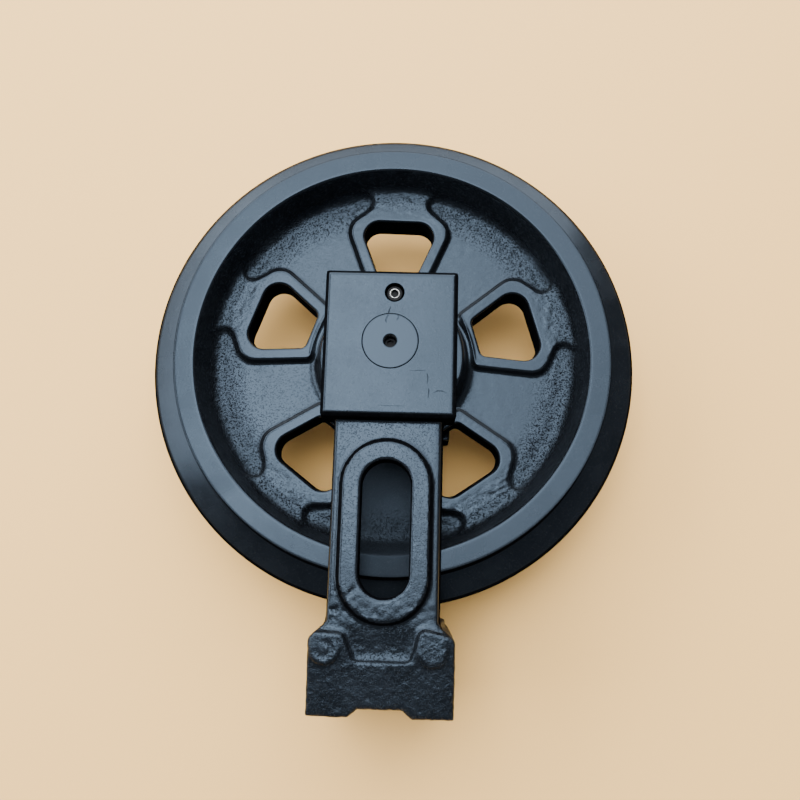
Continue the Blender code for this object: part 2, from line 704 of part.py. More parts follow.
def build_yoke(parent, material, parts, cutters):
    """The guide yoke, one casting: its upper half is modelled and mirrored."""
    foot = plate("guide_yoke", foot_outline(), -FOOT_MIDDLE_PAST, HALF_WIDTH)
    yoke = add_piece("guide_yoke", foot, material, parent, parts)
    foot_side = add_cutter("foot_side", foot_side_mesh(), parent, cutters)
    boolean(yoke, foot_side, "INTERSECT")
    boolean(yoke, add_cutter("pocket", pocket_mesh(), parent, cutters), "DIFFERENCE")
    for i, (x, y, radius) in enumerate(PADS):
        mesh = cylinder(f"cast_pad_{i + 1}", radius, (x, y, YOKE_INNER_PLANE), (x, y, PAD_TOP), 20)
        boolean(yoke, add_cutter(f"cast_pad_{i + 1}", mesh, parent, cutters), "UNION")
    for name, mesh in (("arm", arm_mesh()), ("slot_boss", boss_mesh()), ("head", head_mesh())):
        boolean(yoke, add_cutter(name, mesh, parent, cutters), "UNION")
    inner = YOKE_INNER_PLANE - CUT_PAST
    outer = HALF_WIDTH + CUT_PAST
    screw_place = (SCREW_X, SCREW_Y)
    round_cuts = (
        ("shaft_bore", SHAFT_RADIUS + GAP, (0, 0), inner, outer, SHAFT_STEPS),
        ("collar_recess", COLLAR_RADIUS + GAP, (0, 0), inner, COLLAR_RECESS_FLOOR, COLLAR_STEPS),
        ("screw_hole", SCREW_HOLE_RADIUS, screw_place, inner, outer, SMALL_STEPS),
        ("counterbore", COUNTERBORE_RADIUS, screw_place, HALF_WIDTH - COUNTERBORE_DEPTH, outer, 28),
    )
    for name, radius, (x, y), low, high, steps in round_cuts:
        mesh = cylinder(name, radius, (x, y, low), (x, y, high), steps)
        boolean(yoke, add_cutter(name, mesh, parent, cutters), "DIFFERENCE")
    boolean(yoke, add_cutter("slot", slot_mesh(), parent, cutters), "DIFFERENCE")
    mirror_through_middle(yoke)


# ================================================================ assembly
def shade_round(parts):
    """Shade the pieces smooth, with their sharp edges kept sharp."""
    for piece in parts.objects:
        if piece.type == "MESH" and len(piece.data.polygons) > 0:
            piece.data.shade_smooth()
            piece.data.set_sharp_from_angle(angle=SHARP_EDGE)


def main():
    """Build every piece of the idler."""
    clear_scene()
    parts = make_collection("front_idler")
    cutters = make_collection("cutters")
    fixed = add_empty("yoke_frame", parts)
    turning = add_empty("wheel_axis", parts)

    painted = make_material("gloss_black_paint", GLOSS_BLACK, 0.22, 0.0)
    machined = make_material("painted_machined_iron", MACHINED_BLACK, 0.30, 0.0)
    steel = make_material("ground_steel", GROUND_STEEL, 0.25, 1.0)
    oxide = make_material("black_oxide_steel", BLACK_OXIDE, 0.40, 0.6)
    iron = make_material("chilled_iron", CHILLED_IRON, 0.15, 1.0)
    bronze = make_material("bronze", BRONZE, 0.30, 1.0)
    rubber = make_material("nitrile_rubber", RUBBER, 0.55, 0.0)

    build_wheel(turning, machined, parts, cutters)
    build_yoke(fixed, painted, parts, cutters)
    build_shaft(fixed, steel, parts, cutters)
    build_plug(fixed, oxide, parts, cutters)
    for side, word in ((1, "upper"), (-1, "lower")):
        build_bush(side, f"hub_bush_{word}", turning, bronze, parts)
        build_seal_ring(side, False, f"face_seal_ring_{word}_turning", turning, iron, parts)
        build_seal_ring(side, True, f"face_seal_ring_{word}_fixed", fixed, iron, parts)
        for offset, state, parent in ((-TORIC_OFFSET, "turning", turning),
                                      (TORIC_OFFSET, "fixed", fixed)):
            build_round_ring(f"seal_toric_{word}_{state}", TORIC_RADIUS, TORIC_SECTION,
                             side * (SEAL_PLANE + offset), parent, rubber, parts)
        o_ring_height = (O_RING_GROOVE_FLOOR + COLLAR_OUTER_END) / 2
        build_round_ring(f"shaft_o_ring_{word}", O_RING_RADIUS, O_RING_SECTION,
                         side * o_ring_height, fixed, rubber, parts)
        build_collar(side, f"seal_collar_{word}", fixed, oxide, parts, cutters)
        build_lock_pin(side, f"shaft_lock_pin_{word}", fixed, steel, parts)
        build_screw(side, f"collar_cap_screw_{word}", fixed, oxide, parts, cutters)
    shade_round(parts)


main()
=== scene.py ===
"""Looks of the front idler: fine castings, machined rim, painted shaft and screws, on a pale floor.

Lengths inside the shape functions are in millimetres about the wheel's centre, with +Z up along
the shaft, and become metres in the row frame when a mesh is made.
"""
import json
from math import cos, pi, radians, sin, sqrt, tan

import bmesh
import bpy
import numpy as np
from mathutils import Matrix, Vector


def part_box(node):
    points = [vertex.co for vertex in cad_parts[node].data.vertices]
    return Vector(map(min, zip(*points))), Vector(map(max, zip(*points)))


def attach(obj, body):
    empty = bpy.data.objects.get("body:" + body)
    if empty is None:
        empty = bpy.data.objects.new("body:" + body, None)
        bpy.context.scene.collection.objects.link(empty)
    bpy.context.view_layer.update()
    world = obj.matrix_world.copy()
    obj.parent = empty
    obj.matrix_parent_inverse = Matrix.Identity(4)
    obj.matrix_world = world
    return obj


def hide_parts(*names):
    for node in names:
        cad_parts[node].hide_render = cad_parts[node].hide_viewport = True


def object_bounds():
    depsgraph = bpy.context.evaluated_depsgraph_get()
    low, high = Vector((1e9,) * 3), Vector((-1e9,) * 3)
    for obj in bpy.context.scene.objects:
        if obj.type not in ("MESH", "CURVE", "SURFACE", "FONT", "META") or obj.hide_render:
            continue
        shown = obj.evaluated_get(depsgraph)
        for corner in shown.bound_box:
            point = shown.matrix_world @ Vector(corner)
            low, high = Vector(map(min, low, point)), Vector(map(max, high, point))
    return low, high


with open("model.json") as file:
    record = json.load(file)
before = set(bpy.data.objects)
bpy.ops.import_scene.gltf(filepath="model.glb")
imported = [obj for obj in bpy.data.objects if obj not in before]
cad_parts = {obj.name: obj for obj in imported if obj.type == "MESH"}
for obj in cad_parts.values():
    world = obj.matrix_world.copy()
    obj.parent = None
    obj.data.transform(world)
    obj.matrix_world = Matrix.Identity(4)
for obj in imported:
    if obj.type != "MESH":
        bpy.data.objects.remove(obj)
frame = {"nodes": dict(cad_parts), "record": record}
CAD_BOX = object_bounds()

MM = 0.001
WHEEL_LOW, WHEEL_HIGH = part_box("idler_wheel")
YOKE_LOW, YOKE_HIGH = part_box("guide_yoke")
SHAFT_LOW, SHAFT_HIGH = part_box("axle_shaft")
MID_PLANE = (WHEEL_LOW.z + WHEEL_HIGH.z) / 2

# ---- sizes read from the frame, mm
FLANGE_RADIUS = (WHEEL_HIGH.x - WHEEL_LOW.x) / 2 / MM
RIM_HALF = (WHEEL_HIGH.z - WHEEL_LOW.z) / 2 / MM
SHAFT_RADIUS = (SHAFT_HIGH.x - SHAFT_LOW.x) / 2 / MM
SHAFT_HALF = (SHAFT_HIGH.z - SHAFT_LOW.z) / 2 / MM
FOOT_HALF_X = (YOKE_HIGH.x - YOKE_LOW.x) / 2 / MM
FOOT_REAR = YOKE_LOW.y / MM
HEAD_FRONT = YOKE_HIGH.y / MM + 1.4      # the casting stands a little proud of the CAD's head

# ---- wheel, mm
TREAD_RADIUS = 145.0
RIM_INNER = 131.1
WEB_HALF = 8.0
WEB_START = 57.8            # the flat web lies between the hub's fillet and the rim's fillet
WEB_END = 117.0
HUB_RADIUS = 48.5
HUB_FOOT = 50.3
HUB_HALF = 24.0
HUB_FILLET = 7.5
HUB_EDGE_ROUND = 1.8
HUB_EDGE_END = 8            # degrees of the hub's drafted wall from upright
RIM_FILLET = 9.0
RIM_DRAFT = 72.5            # degrees between the web and the rim's inner wall
LIP_HEIGHT = 4.0
LIP_BLEND = 4.2
WINDOW_COUNT = 5
WINDOW_TURN = radians(90 - 1.3)
WINDOW_DRAFT = 1.5
WINDOW_WALL_TOP = 10.2      # where a window's wall passes into its rounded lip
WINDOW_CORNERS = (          # x, y and rounding for the window that points along +Y
    (-13.1, 59.5, 5.0), (13.1, 59.5, 5.0), (30.0, 101.0, 11.2), (-30.0, 101.0, 11.2))
LIP_HALF = (                # the right half of the raised lip's outline round that window
    (18.9, 51.0, 7.0), (37.4, 97.0, 13.0), (15.2, 115.0, 8.5), (33.0, 131.0, 3.0))
SECTOR = 2 * pi / WINDOW_COUNT
SEAL_BAY = 29.8
SEAL_BAY_FLOOR = 13.5
BUSH_BORE = 21.0
FLANGE_SLOPE = 18.6         # degrees between the flange's sides and the middle plane
FLANGE_CORNER = 8.5         # height where the flange's side would meet its tip
FLANGE_TIP_ROUND = 5.5
TREAD_CORNER_LOW = 14.0     # the treads' dull arrises lie above this height
TREAD_CORNER_REACH = 1.6
WEB_ROUGHNESS = 0.022       # spread of the sand's relief by the hub
CORNER_ROUGHNESS = 0.08     # what the rim's corner adds to it
CORNER_START = 101.0
CORNER_RUN = 12.0
SECTION_SPACING = 0.4

# ---- mesh density
COLUMNS_INNER = 28
COLUMNS_SIDE = 40
COLUMNS_OUTER = 72
ROWS = 38                   # rows of quads away from a window, and columns round it above

# ---- yoke, mm
YOKE_STEP = 1.0             # spacing of the field's samples
NET_REACH = 2.5             # relief is laid on the samples this near to the surface
BODY_FILLET = 1.6
TOP_EDGE_ROUND = 2.2
FORK_ROUND = 4.0
FORK_EDGE = 1.0
HEAD_HALF_X = 42.0
HEAD_REAR = -48.1
HEAD_CHAMFER = 2.4
INNER_PLANE = 35.0
ARM_SURFACE = 49.5
ARM_TOP_HALF = 33.5
ARM_ROOT_HALF = 35.2
SLOT_FRONT = -88.7
SLOT_REAR = -141.6
SLOT_HALF = 15.3
BOSS_FRONT = -88.6
BOSS_REAR = -143.8
BOSS_HALF = 26.3
BOSS_HEIGHT = 3.5
SLOT_DRAFT = 0.02
SLOT_DRAFT_LEVEL = 44.0
FOOT_FRONT = -171.0
FOOT_SHOULDER = -172.5
FOOT_CORNER = -181.5
FOOT_CORNER_CUT = (1.0, 2.2)
ARM_REAR = -190.0           # hidden end of the arm inside the foot
ARM_FRONT = -30.0           # hidden end of the arm inside the head
NOTCH_TOP_HALF = 13.4
NOTCH_HALF = 18.8
NOTCH_DEPTH = 4.8
FOOT_TOP = 53.0
FOOT_TOP_REAR = 47.5
FOOT_TOP_START = -176.5
PADS = ((-33.8, -186.4, 9.4), (30.4, -186.4, 9.3))      # x, y and radius
PAD_HEIGHT = FOOT_TOP - 0.1
PAD_RING = 4.2              # radius of the rough ring in the first pad
POCKET_START = -170.0
POCKET_RUN = 20.0
POCKET_DIP = 1.8
BOSS_SLOPE = 3.2
ARM_LEVEL_OUTLINE = (       # x, y and rounding: the arm's level runs into a pocket in the foot
    (60.0, 100.0, 1.0), (-60.0, 100.0, 1.0), (-60.0, -175.6, 1.0), (-23.1, -176.8, 5.5),
    (-16.4, -193.0, 4.5), (17.2, -193.0, 4.5), (23.0, -173.4, 5.0), (60.0, -181.5, 1.0))
SCREW_PLACE = (1.9, 31.5)
COUNTERBORE_RADIUS = 6.3
COUNTERBORE_DEPTH = 8.5
HEAD_MARKS = (              # casting cracks and scuffs on the upper head's face: radius, points
    (0.45, ((-0.3, 22.1), (-1.2, 19.2), (-1.6, 16.8), (-2.8, 14.1), (-3.1, 12.4), (-2.5, 11.6))),
    (0.34, ((4.1, 16.9), (4.8, 15.6), (4.6, 14.5), (3.5, 13.2))),
    (0.39, ((23.4, -20.1), (24.0, -23.0), (23.6, -27.0))),
    (0.35, ((24.5, -29.5), (24.8, -31.3), (24.4, -36.0))),
    (0.31, ((27.4, -32.7), (30.1, -31.2), (32.9, -31.3), (35.7, -32.3))),
    (0.20, ((12.8, -18.9), (17.6, -18.6), (22.7, -18.7))),
    (0.17, ((-6.3, -41.1), (2.0, -41.3), (10.6, -41.1))),
)
HEAD_PITS = ((27.0, 13.3), (28.3, 7.2), (-23.7, 11.1))
PIT_RADIUS = 0.45
PIT_DEPTH = 0.25
ARM_SCAR = (-28.0, -161.0)  # rough corner beside the boss
BOSS_NICK = (-19.0, -153.0)  # slanting nick in the boss's rim
# DULL_REACH widens the places that get the black painted shade
DULL_REACH = 0.5            # how far round a dull place its faces are looked for

# ---- camera and floor, m and degrees
FLOOR_GAP = 0.0003          # keeps the floor from flickering through the lower head's face
CAMERA_PLACE = (0.0178, -0.1318)
CAMERA_ABOVE_RIM = 0.5124
CAMERA_TILT = 11.12
CAMERA_ROLL = 0.96
CAMERA_TURN = 1.44
CAMERA_LENS = 36.0
SENSOR = 36.0

# ---- light
PANEL_COLOUR = (0.93, 0.97, 1.0)
PANELS = (                  # tilts east and north, distance, size and radiance
    ("top_panel", -1.0, 16.0, 3.0, (2.55, 2.46), 6.1),
    ("bright_panel", -9.0, 10.5, 2.8, (1.10, 1.34), 5.4),
    ("rear_panel", 1.0, 55.0, 3.0, (4.4, 2.0), 6.0),
    ("left_panel", -51.3, 26.6, 3.3, (1.5, 3.9), 6.8),
)
ROOM_COLOUR = (0.9, 0.95, 1.0, 1.0)
ROOM_STRENGTH = 0.36
FLOOR_SIZE = 8.0


# ======== mesh helpers
def add_object(name, data):
    """A new object in the scene."""
    thing = bpy.data.objects.new(name, data)
    bpy.context.scene.collection.objects.link(thing)
    return thing


def fine_piece(node, mesh, body, slot):
    """A shown piece that rides on a body, wears its slot's finish and stands for a CAD node."""
    piece = add_object(f"{node}_fine", mesh)
    mesh.materials.clear()
    mesh.materials.append(FINISHES[slot])
    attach(piece, body)
    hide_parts(node)
    return piece


def face_place(face):
    """A face's x, y and distance from the middle plane, in millimetres, and how level it is."""
    x, y, z = face.center
    return x / MM, y / MM, abs(z - MID_PLANE) / MM, abs(face.normal.z)


def mesh_from_arrays(name, points, quads, sharp=None):
    """A mesh in the row frame from points in millimetres about the wheel's centre."""
    mesh = bpy.data.meshes.new(name)
    placed = points * MM + np.array([0.0, 0.0, MID_PLANE])
    mesh.vertices.add(len(placed))
    mesh.vertices.foreach_set("co", placed.astype(np.float32).ravel())
    mesh.loops.add(quads.size)
    mesh.loops.foreach_set("vertex_index", quads.astype(np.int32).ravel())
    mesh.polygons.add(len(quads))
    mesh.polygons.foreach_set("loop_start", np.arange(0, quads.size, 4, dtype=np.int32))
    mesh.update(calc_edges=True)
    shape = bmesh.new()
    shape.from_mesh(mesh)
    bmesh.ops.remove_doubles(shape, verts=shape.verts, dist=0.00001)
    bmesh.ops.recalc_face_normals(shape, faces=shape.faces)
    shape.to_mesh(mesh)
    shape.free()
    mesh.shade_smooth()
    if sharp:
        mesh.set_sharp_from_angle(angle=radians(sharp))
    return mesh


def mesh_from_shape(name, shape):
    """A mesh with what a bmesh holds; the bmesh is used up."""
    mesh = bpy.data.meshes.new(name)
    shape.to_mesh(mesh)
    shape.free()
    return mesh


def arc(centre, radius, start, end, count):
    """Points on an arc, angles in degrees, both ends included."""
    angles = [radians(start + (end - start) * i / count) for i in range(count + 1)]
    return [(centre[0] + radius * cos(a), centre[1] + radius * sin(a)) for a in angles]


def dense(points, spacing):
    """A polyline with points added so that no stretch is longer than the spacing."""
    result = [points[0]]
    for start, end in zip(points, points[1:]):
        steps = max(1, int(np.hypot(end[0] - start[0], end[1] - start[1]) / spacing))
        for i in range(1, steps + 1):
            result.append(tuple(np.array(start) + (np.array(end) - np.array(start)) * i / steps))
    return result


def resample(points, count):
    """The polyline's count + 1 evenly spaced points."""
    points = np.array(points)
    lengths = np.concatenate([[0.0], np.cumsum(np.hypot(*np.diff(points, axis=0).T))])
    places = np.linspace(0.0, lengths[-1], count + 1)
    return np.stack([np.interp(places, lengths, points[:, k]) for k in (0, 1)], axis=1)


def rounded_corners(corners, offset=0.0, arc_points=12):
    """One arc of points for each (x, y, radius) corner of a counter-clockwise outline.

    The outline is first moved outwards by the offset.
    """
    moved = []
    for i, (x, y, radius) in enumerate(corners):
        before = Vector(corners[i - 1][:2])
        here = Vector((x, y))
        after = Vector(corners[(i + 1) % len(corners)][:2])
        edge_in = (here - before).normalized()
        edge_out = (after - here).normalized()
        normal_in = Vector((edge_in.y, -edge_in.x))
        normal_out = Vector((edge_out.y, -edge_out.x))
        shift = (normal_in + normal_out) * offset / (1 + normal_in.dot(normal_out))
        convex = edge_in.x * edge_out.y - edge_in.y * edge_out.x > 0
        moved.append((here + shift, max(0.3, radius + (offset if convex else -offset))))
    arcs = []
    for i, (here, radius) in enumerate(moved):
        to_before = (moved[i - 1][0] - here).normalized()
        to_after = (moved[(i + 1) % len(moved)][0] - here).normalized()
        half_angle = to_before.angle(to_after) / 2
        centre = here + (to_before + to_after).normalized() * radius / sin(half_angle)
        first = here + to_before * radius / tan(half_angle) - centre
        last = here + to_after * radius / tan(half_angle) - centre
        sweep = first.angle_signed(last)
        points = []
        for k in range(arc_points + 1):
            turned = first.copy()
            turned.rotate(Matrix.Rotation(-sweep * k / arc_points, 2))
            points.append(tuple(centre + turned))
        arcs.append(points)
    return arcs


def polygon_distance(x, y, polygon):
    """Signed distance to a closed polygon, negative inside, for arrays of points."""
    distance = np.full(np.broadcast(x, y).shape, 1e9)
    inside = np.zeros(distance.shape, bool)
    for (ax, ay), (bx, by) in zip(polygon, polygon[1:] + polygon[:1]):
        ex, ey = bx - ax, by - ay
        along = np.clip(((x - ax) * ex + (y - ay) * ey) / (ex * ex + ey * ey), 0.0, 1.0)
        distance = np.minimum(distance, np.hypot(x - ax - along * ex, y - ay - along * ey))
        crosses = ((ay > y) != (by > y)) & (x < ex * (y - ay) / (ey if ey else 1e-12) + ax)
        inside ^= crosses
    return np.where(inside, -distance, distance)


def smooth_min(a, b, width):
    """Union of two fields with a fillet."""
    blend = np.maximum(width - np.abs(a - b), 0.0) / width
    return np.minimum(a, b) - blend * blend * width / 4


def smooth_max(a, b, width):
    """Intersection of two fields with a rounded edge."""
    return -smooth_min(-a, -b, width)


def smooth_step(value):
    """0 below 0, 1 above 1 and smooth between."""
    value = np.clip(value, 0.0, 1.0)
    return value * value * (3 - 2 * value)


def ripple(points, wavelength, seed, waves=26):
    """Smooth isotropic noise of about unit spread: a sum of seeded plane waves."""
    random = np.random.default_rng(seed)
    directions = random.normal(size=(waves, 3))
    directions /= np.linalg.norm(directions, axis=1, keepdims=True)
    numbers = 2 * pi / (wavelength * random.uniform(0.7, 1.4, waves))
    phases = random.uniform(0.0, 2 * pi, waves)
    total = np.zeros(len(points))
    for direction, number, phase in zip(directions, numbers, phases):
        total += np.cos(points @ (direction * number) + phase)
    return total / sqrt(waves / 2)


# ======== wheel
def web_section():
    """Upper section from the hub's top edge over the web to the rim's inner edge."""
    hub_edge = arc((HUB_RADIUS - HUB_EDGE_ROUND, HUB_HALF - HUB_EDGE_ROUND), HUB_EDGE_ROUND,
                   90, HUB_EDGE_END, 6)
    hub_fillet = arc((HUB_FOOT + HUB_FILLET, WEB_HALF + HUB_FILLET), HUB_FILLET, 186, 270, 14)
    rim_fillet = arc((WEB_END, WEB_HALF + RIM_FILLET), RIM_FILLET, 270, 270 + RIM_DRAFT, 14)
    rim_top = [(RIM_INNER - 0.7, RIM_HALF - 1.2), (RIM_INNER - 0.1, RIM_HALF - 0.5),
               (RIM_INNER + 0.6, RIM_HALF - 0.05)]
    return dense([*hub_edge, *hub_fillet, *rim_fillet, *rim_top], SECTION_SPACING)


def section_table():
    """Distance along the section, radius, height and the normal's two parts.

    The distance equals the radius on the flat web.
    """
    points = np.array(web_section())
    steps = np.hypot(*np.diff(points, axis=0).T)
    length = np.concatenate([[0.0], np.cumsum(steps)])
    length += WEB_START - np.interp(WEB_START, points[:, 0], length)
    tangent = np.gradient(points, length, axis=0)
    tangent /= np.linalg.norm(tangent, axis=1, keepdims=True)
    return length, points[:, 0], points[:, 1], -tangent[:, 1], tangent[:, 0]


def window_ring(offset):
    """Points round a window that points along +Y, counter-clockwise from its inner left corner."""
    arcs = rounded_corners(WINDOW_CORNERS, offset)
    inner = resample(arcs[0] + arcs[1], COLUMNS_INNER)[:-1]
    right = resample([arcs[1][-1], arcs[2][0]], COLUMNS_SIDE)[:-1]
    outer = resample(arcs[2] + arcs[3], COLUMNS_OUTER)[:-1]
    left = resample([arcs[3][-1], arcs[0][0]], COLUMNS_SIDE)[:-1]
    return np.concatenate([inner, right, outer, left])


def sector_ring(inner_length, outer_length):
    """Points round a sector's border, in step with the points of window_ring."""
    half = SECTOR / 2
    across = np.linspace(-half, half, COLUMNS_INNER + 1)[:-1]
    inner = np.stack([np.sin(across), np.cos(across)], axis=1) * inner_length
    up = np.linspace(inner_length, outer_length, COLUMNS_SIDE + 1)
    right = np.stack([up * sin(half), up * cos(half)], axis=1)[:-1]
    back = np.linspace(half, -half, COLUMNS_OUTER + 1)[:-1]
    outer = np.stack([np.sin(back), np.cos(back)], axis=1) * outer_length
    left = np.stack([-up * sin(half), up * cos(half)], axis=1)[::-1][:-1]
    return np.concatenate([inner, right, outer, left])


def window_wall_levels():
    """(offset, height) from the middle plane up a window's wall and over its rounded lip."""
    wall = [(-WINDOW_DRAFT + 1.2 * z / WINDOW_WALL_TOP, z)
            for z in np.linspace(0.0, WINDOW_WALL_TOP, 8)]
    top = WEB_HALF + LIP_HEIGHT
    lip = [(-0.3 + 1.7 * (1 - cos(a)), top - 1.8 + 1.8 * sin(a)) for a in np.linspace(0, pi / 2, 7)]
    return wall[:-1] + lip


def casting_roughness(length):
    """How rough the sand left the web: little by the hub, most in the rim's corner."""
    near_rim = smooth_step((length - CORNER_START) / CORNER_RUN)
    machined = smooth_step((length - SECTION[0][-1] + 6.0) / 4.0)
    return (WEB_ROUGHNESS + CORNER_ROUGHNESS * near_rim) * (1 - machined)


def web_points(side, turn):
    """One sector of the web on one side: rows from the window's middle plane to its border."""
    lengths = SECTION[0]
    walls = []
    for offset, height in window_wall_levels():
        ring = window_ring(offset)
        walls.append(np.column_stack([ring, np.full(len(ring), height)]))
    start = walls[-1][:, :2]
    end = sector_ring(lengths[0], lengths[-1])
    share = np.linspace(0.0, 1.0, ROWS + 1)[1:]
    share = 0.55 * share + 0.45 * share ** 2
    flat = (start + (end - start) * share[:, None, None]).reshape(-1, 2)
    x, y = flat[:, 0], flat[:, 1]
    length = np.hypot(x, y)
    angle = np.arctan2(x, y)
    lip_corners = list(LIP_HALF) + [(-px, py, r) for px, py, r in reversed(LIP_HALF)]
    outline = [p for points in rounded_corners(lip_corners) for p in points]
    to_lip = polygon_distance(x, y, outline)
    raised = LIP_HEIGHT * smooth_step(0.5 - to_lip / LIP_BLEND)
    raised *= 1 - smooth_step((length - WEB_END - 2.0) / 13.0)
    radius, height, out, up = (np.interp(length, lengths, column) for column in SECTION[1:])
    smooth = np.column_stack([radius * np.sin(angle), radius * np.cos(angle), height])
    normal = np.column_stack([out * np.sin(angle), out * np.cos(angle), up])
    mirror = np.array([1.0, 1.0, side])
    turned = rotate_z(smooth, turn) * mirror
    grain = ripple(turned, 7.0, 3) * 0.8 + ripple(turned, 3.4, 4) + ripple(turned, 24.0, 5) * 1.2
    edge = smooth_step((length - lengths[0]) / 3.0)
    edge *= smooth_step((lengths[-1] - length) / 2.0)
    inner_edge = np.repeat(smooth_step(share * 8.0), len(start))
    bumps = grain * casting_roughness(length) * edge * inner_edge
    surface = smooth + normal * (raised + bumps)[:, None]
    return rotate_z(np.concatenate([*walls, surface]), turn) * mirror


def rotate_z(points, angle):
    """Points turned about Z."""
    turn = np.array([[cos(angle), -sin(angle), 0.0], [sin(angle), cos(angle), 0.0], [0, 0, 1]])
    return points @ turn.T


def grid_quads(rows, columns, first):
    """Quads of a grid that closes round its columns."""
    row, column = np.meshgrid(np.arange(rows - 1), np.arange(columns), indexing="ij")
    following = (column + 1) % columns
    low = first + row * columns
    high = first + (row + 1) * columns
    quads = np.stack([low + column, low + following, high + following, high + column], axis=-1)
    return quads.reshape(-1, 4)


def turned_rows(section, angles):
    """Points of a turned surface, one row for each section point."""
    ring = np.column_stack([np.cos(angles), np.sin(angles)])
    rows = [np.column_stack([ring * radius, np.full(len(angles), height)])
            for radius, height in section]
    return np.concatenate(rows)


def rim_section():
    """Outer section from the rim's upper inner edge round the flange to the lower one."""
    edge = (float(SECTION[1][-1]), float(SECTION[2][-1]))
    tip_z = FLANGE_CORNER - FLANGE_TIP_ROUND * tan((pi / 2 - radians(FLANGE_SLOPE)) / 2)
    tip_arc = arc((FLANGE_RADIUS - FLANGE_TIP_ROUND, tip_z), FLANGE_TIP_ROUND,
                  90 - FLANGE_SLOPE, 0, 8)
    root = [(TREAD_RADIUS, 18.4), (TREAD_RADIUS + 0.25, 17.2), (TREAD_RADIUS + 0.9, 16.1),
            (TREAD_RADIUS + 2.0, 15.2), (TREAD_RADIUS + 3.4, 14.7)]
    upper = [edge, (RIM_INNER + 1.0, RIM_HALF), (RIM_INNER + 2.5, RIM_HALF),
             (TREAD_RADIUS - 2.2, RIM_HALF), (TREAD_RADIUS - 0.9, RIM_HALF),
             (TREAD_RADIUS - 0.35, RIM_HALF - 0.12), (TREAD_RADIUS - 0.1, RIM_HALF - 0.4),
             (TREAD_RADIUS, RIM_HALF - 1.0), (TREAD_RADIUS, RIM_HALF - 4.0), *root, *tip_arc,
             (FLANGE_RADIUS, tip_z - 1.0)]
    return upper + [(radius, -height) for radius, height in reversed(upper)]


def hub_section():
    """Inner section from the hub's upper edge through the seal bays and bore to the lower edge."""
    edge = (float(SECTION[1][0]), float(SECTION[2][0]))
    upper = [edge, (HUB_RADIUS - 3.0, HUB_HALF), (SEAL_BAY + 1.0, HUB_HALF),
             (SEAL_BAY + 0.4, HUB_HALF), (SEAL_BAY, HUB_HALF - 0.4), (SEAL_BAY, HUB_HALF - 1.5),
             (SEAL_BAY, SEAL_BAY_FLOOR + 0.5), (SEAL_BAY, SEAL_BAY_FLOOR),
             (SEAL_BAY - 0.5, SEAL_BAY_FLOOR), (BUSH_BORE + 0.5, SEAL_BAY_FLOOR),
             (BUSH_BORE, SEAL_BAY_FLOOR - 0.5), (BUSH_BORE, 4.0)]
    return upper + [(radius, -height) for radius, height in reversed(upper)]


def wheel_mesh():
    """The whole wheel as one closed mesh: five web sectors on each side, rim and hub."""
    rows = len(window_wall_levels()) + ROWS
    columns = COLUMNS_INNER + 2 * COLUMNS_SIDE + COLUMNS_OUTER
    grids = [(web_points(side, WINDOW_TURN - pi / 2 + i * SECTOR), rows, columns)
             for side in (1, -1) for i in range(WINDOW_COUNT)]
    for section, columns_each in ((rim_section(), COLUMNS_OUTER), (hub_section(), COLUMNS_INNER)):
        count = WINDOW_COUNT * columns_each
        angles = WINDOW_TURN + SECTOR / 2 + np.arange(count) * 2 * pi / count
        grids.append((turned_rows(section, angles), len(section), count))
    quads = []
    first = 0
    for points, rows, columns in grids:
        quads.append(grid_quads(rows, columns, first))
        first += len(points)
    points = np.concatenate([grid[0] for grid in grids])
    return mesh_from_arrays("idler_wheel_fine", points, np.concatenate(quads), 50)


def paint_shade_on_walls_and_arrises(mesh, material):
    """Give the windows' walls and the rim's arrises the black paint that stands in for their shade.
    """
    mesh.materials.append(material)
    for face in mesh.polygons:
        x, y, height, level = face_place(face)
        away = np.hypot(x, y)
        in_window = HUB_RADIUS + 3.0 < away < WEB_END and height < WEB_HALF + LIP_HEIGHT - 1.0
        on_tip = away > FLANGE_RADIUS - 3.5 and 0.1 < level < 0.8
        near_tread_corner = abs(away - TREAD_RADIUS) < TREAD_CORNER_REACH
        on_tread_corner = near_tread_corner and level < 0.9 and height > TREAD_CORNER_LOW
        # the faces picked here get the black painted shade
        if (in_window and level < 0.25) or on_tip or on_tread_corner:
            face.material_index = 1


# ======== yoke
def surface_net(field, origin, step):
    """Quads over the zero surface of a sampled field that is negative inside."""
    cells_shape = tuple(n - 1 for n in field.shape)
    edge_cells = []
    edge_points = []
    quads = []
    for axis in range(3):
        low = [slice(None)] * 3
        high = [slice(None)] * 3
        low[axis] = slice(0, -1)
        high[axis] = slice(1, None)
        start, end = field[tuple(low)], field[tuple(high)]
        crossing = np.argwhere((start < 0) != (end < 0))
        b, c = (axis + 1) % 3, (axis + 2) % 3
        inner = (crossing[:, b] > 0) & (crossing[:, c] > 0)
        inner &= (crossing[:, b] < field.shape[b] - 1) & (crossing[:, c] < field.shape[c] - 1)
        crossing = crossing[inner]
        first = start[tuple(crossing.T)]
        last = end[tuple(crossing.T)]
        point = crossing.astype(float)
        point[:, axis] += first / (first - last)
        corners = []
        for db, dc in ((-1, -1), (0, -1), (0, 0), (-1, 0)):
            cell = crossing.copy()
            cell[:, b] += db
            cell[:, c] += dc
            corners.append(np.ravel_multi_index(cell.T, cells_shape))
            edge_points.append(point)
        edge_cells.extend(corners)
        quad = np.stack(corners, axis=1)
        quads.append(np.where((first > 0)[:, None], quad[:, ::-1], quad))
    cells = np.concatenate(edge_cells)
    points = np.concatenate(edge_points)
    names, index = np.unique(cells, return_inverse=True)
    count = np.bincount(index)
    vertices = np.stack([np.bincount(index, points[:, k]) / count for k in range(3)], axis=1)
    lookup = np.searchsorted(names, np.concatenate(quads))
    return vertices * step + np.array(origin), lookup


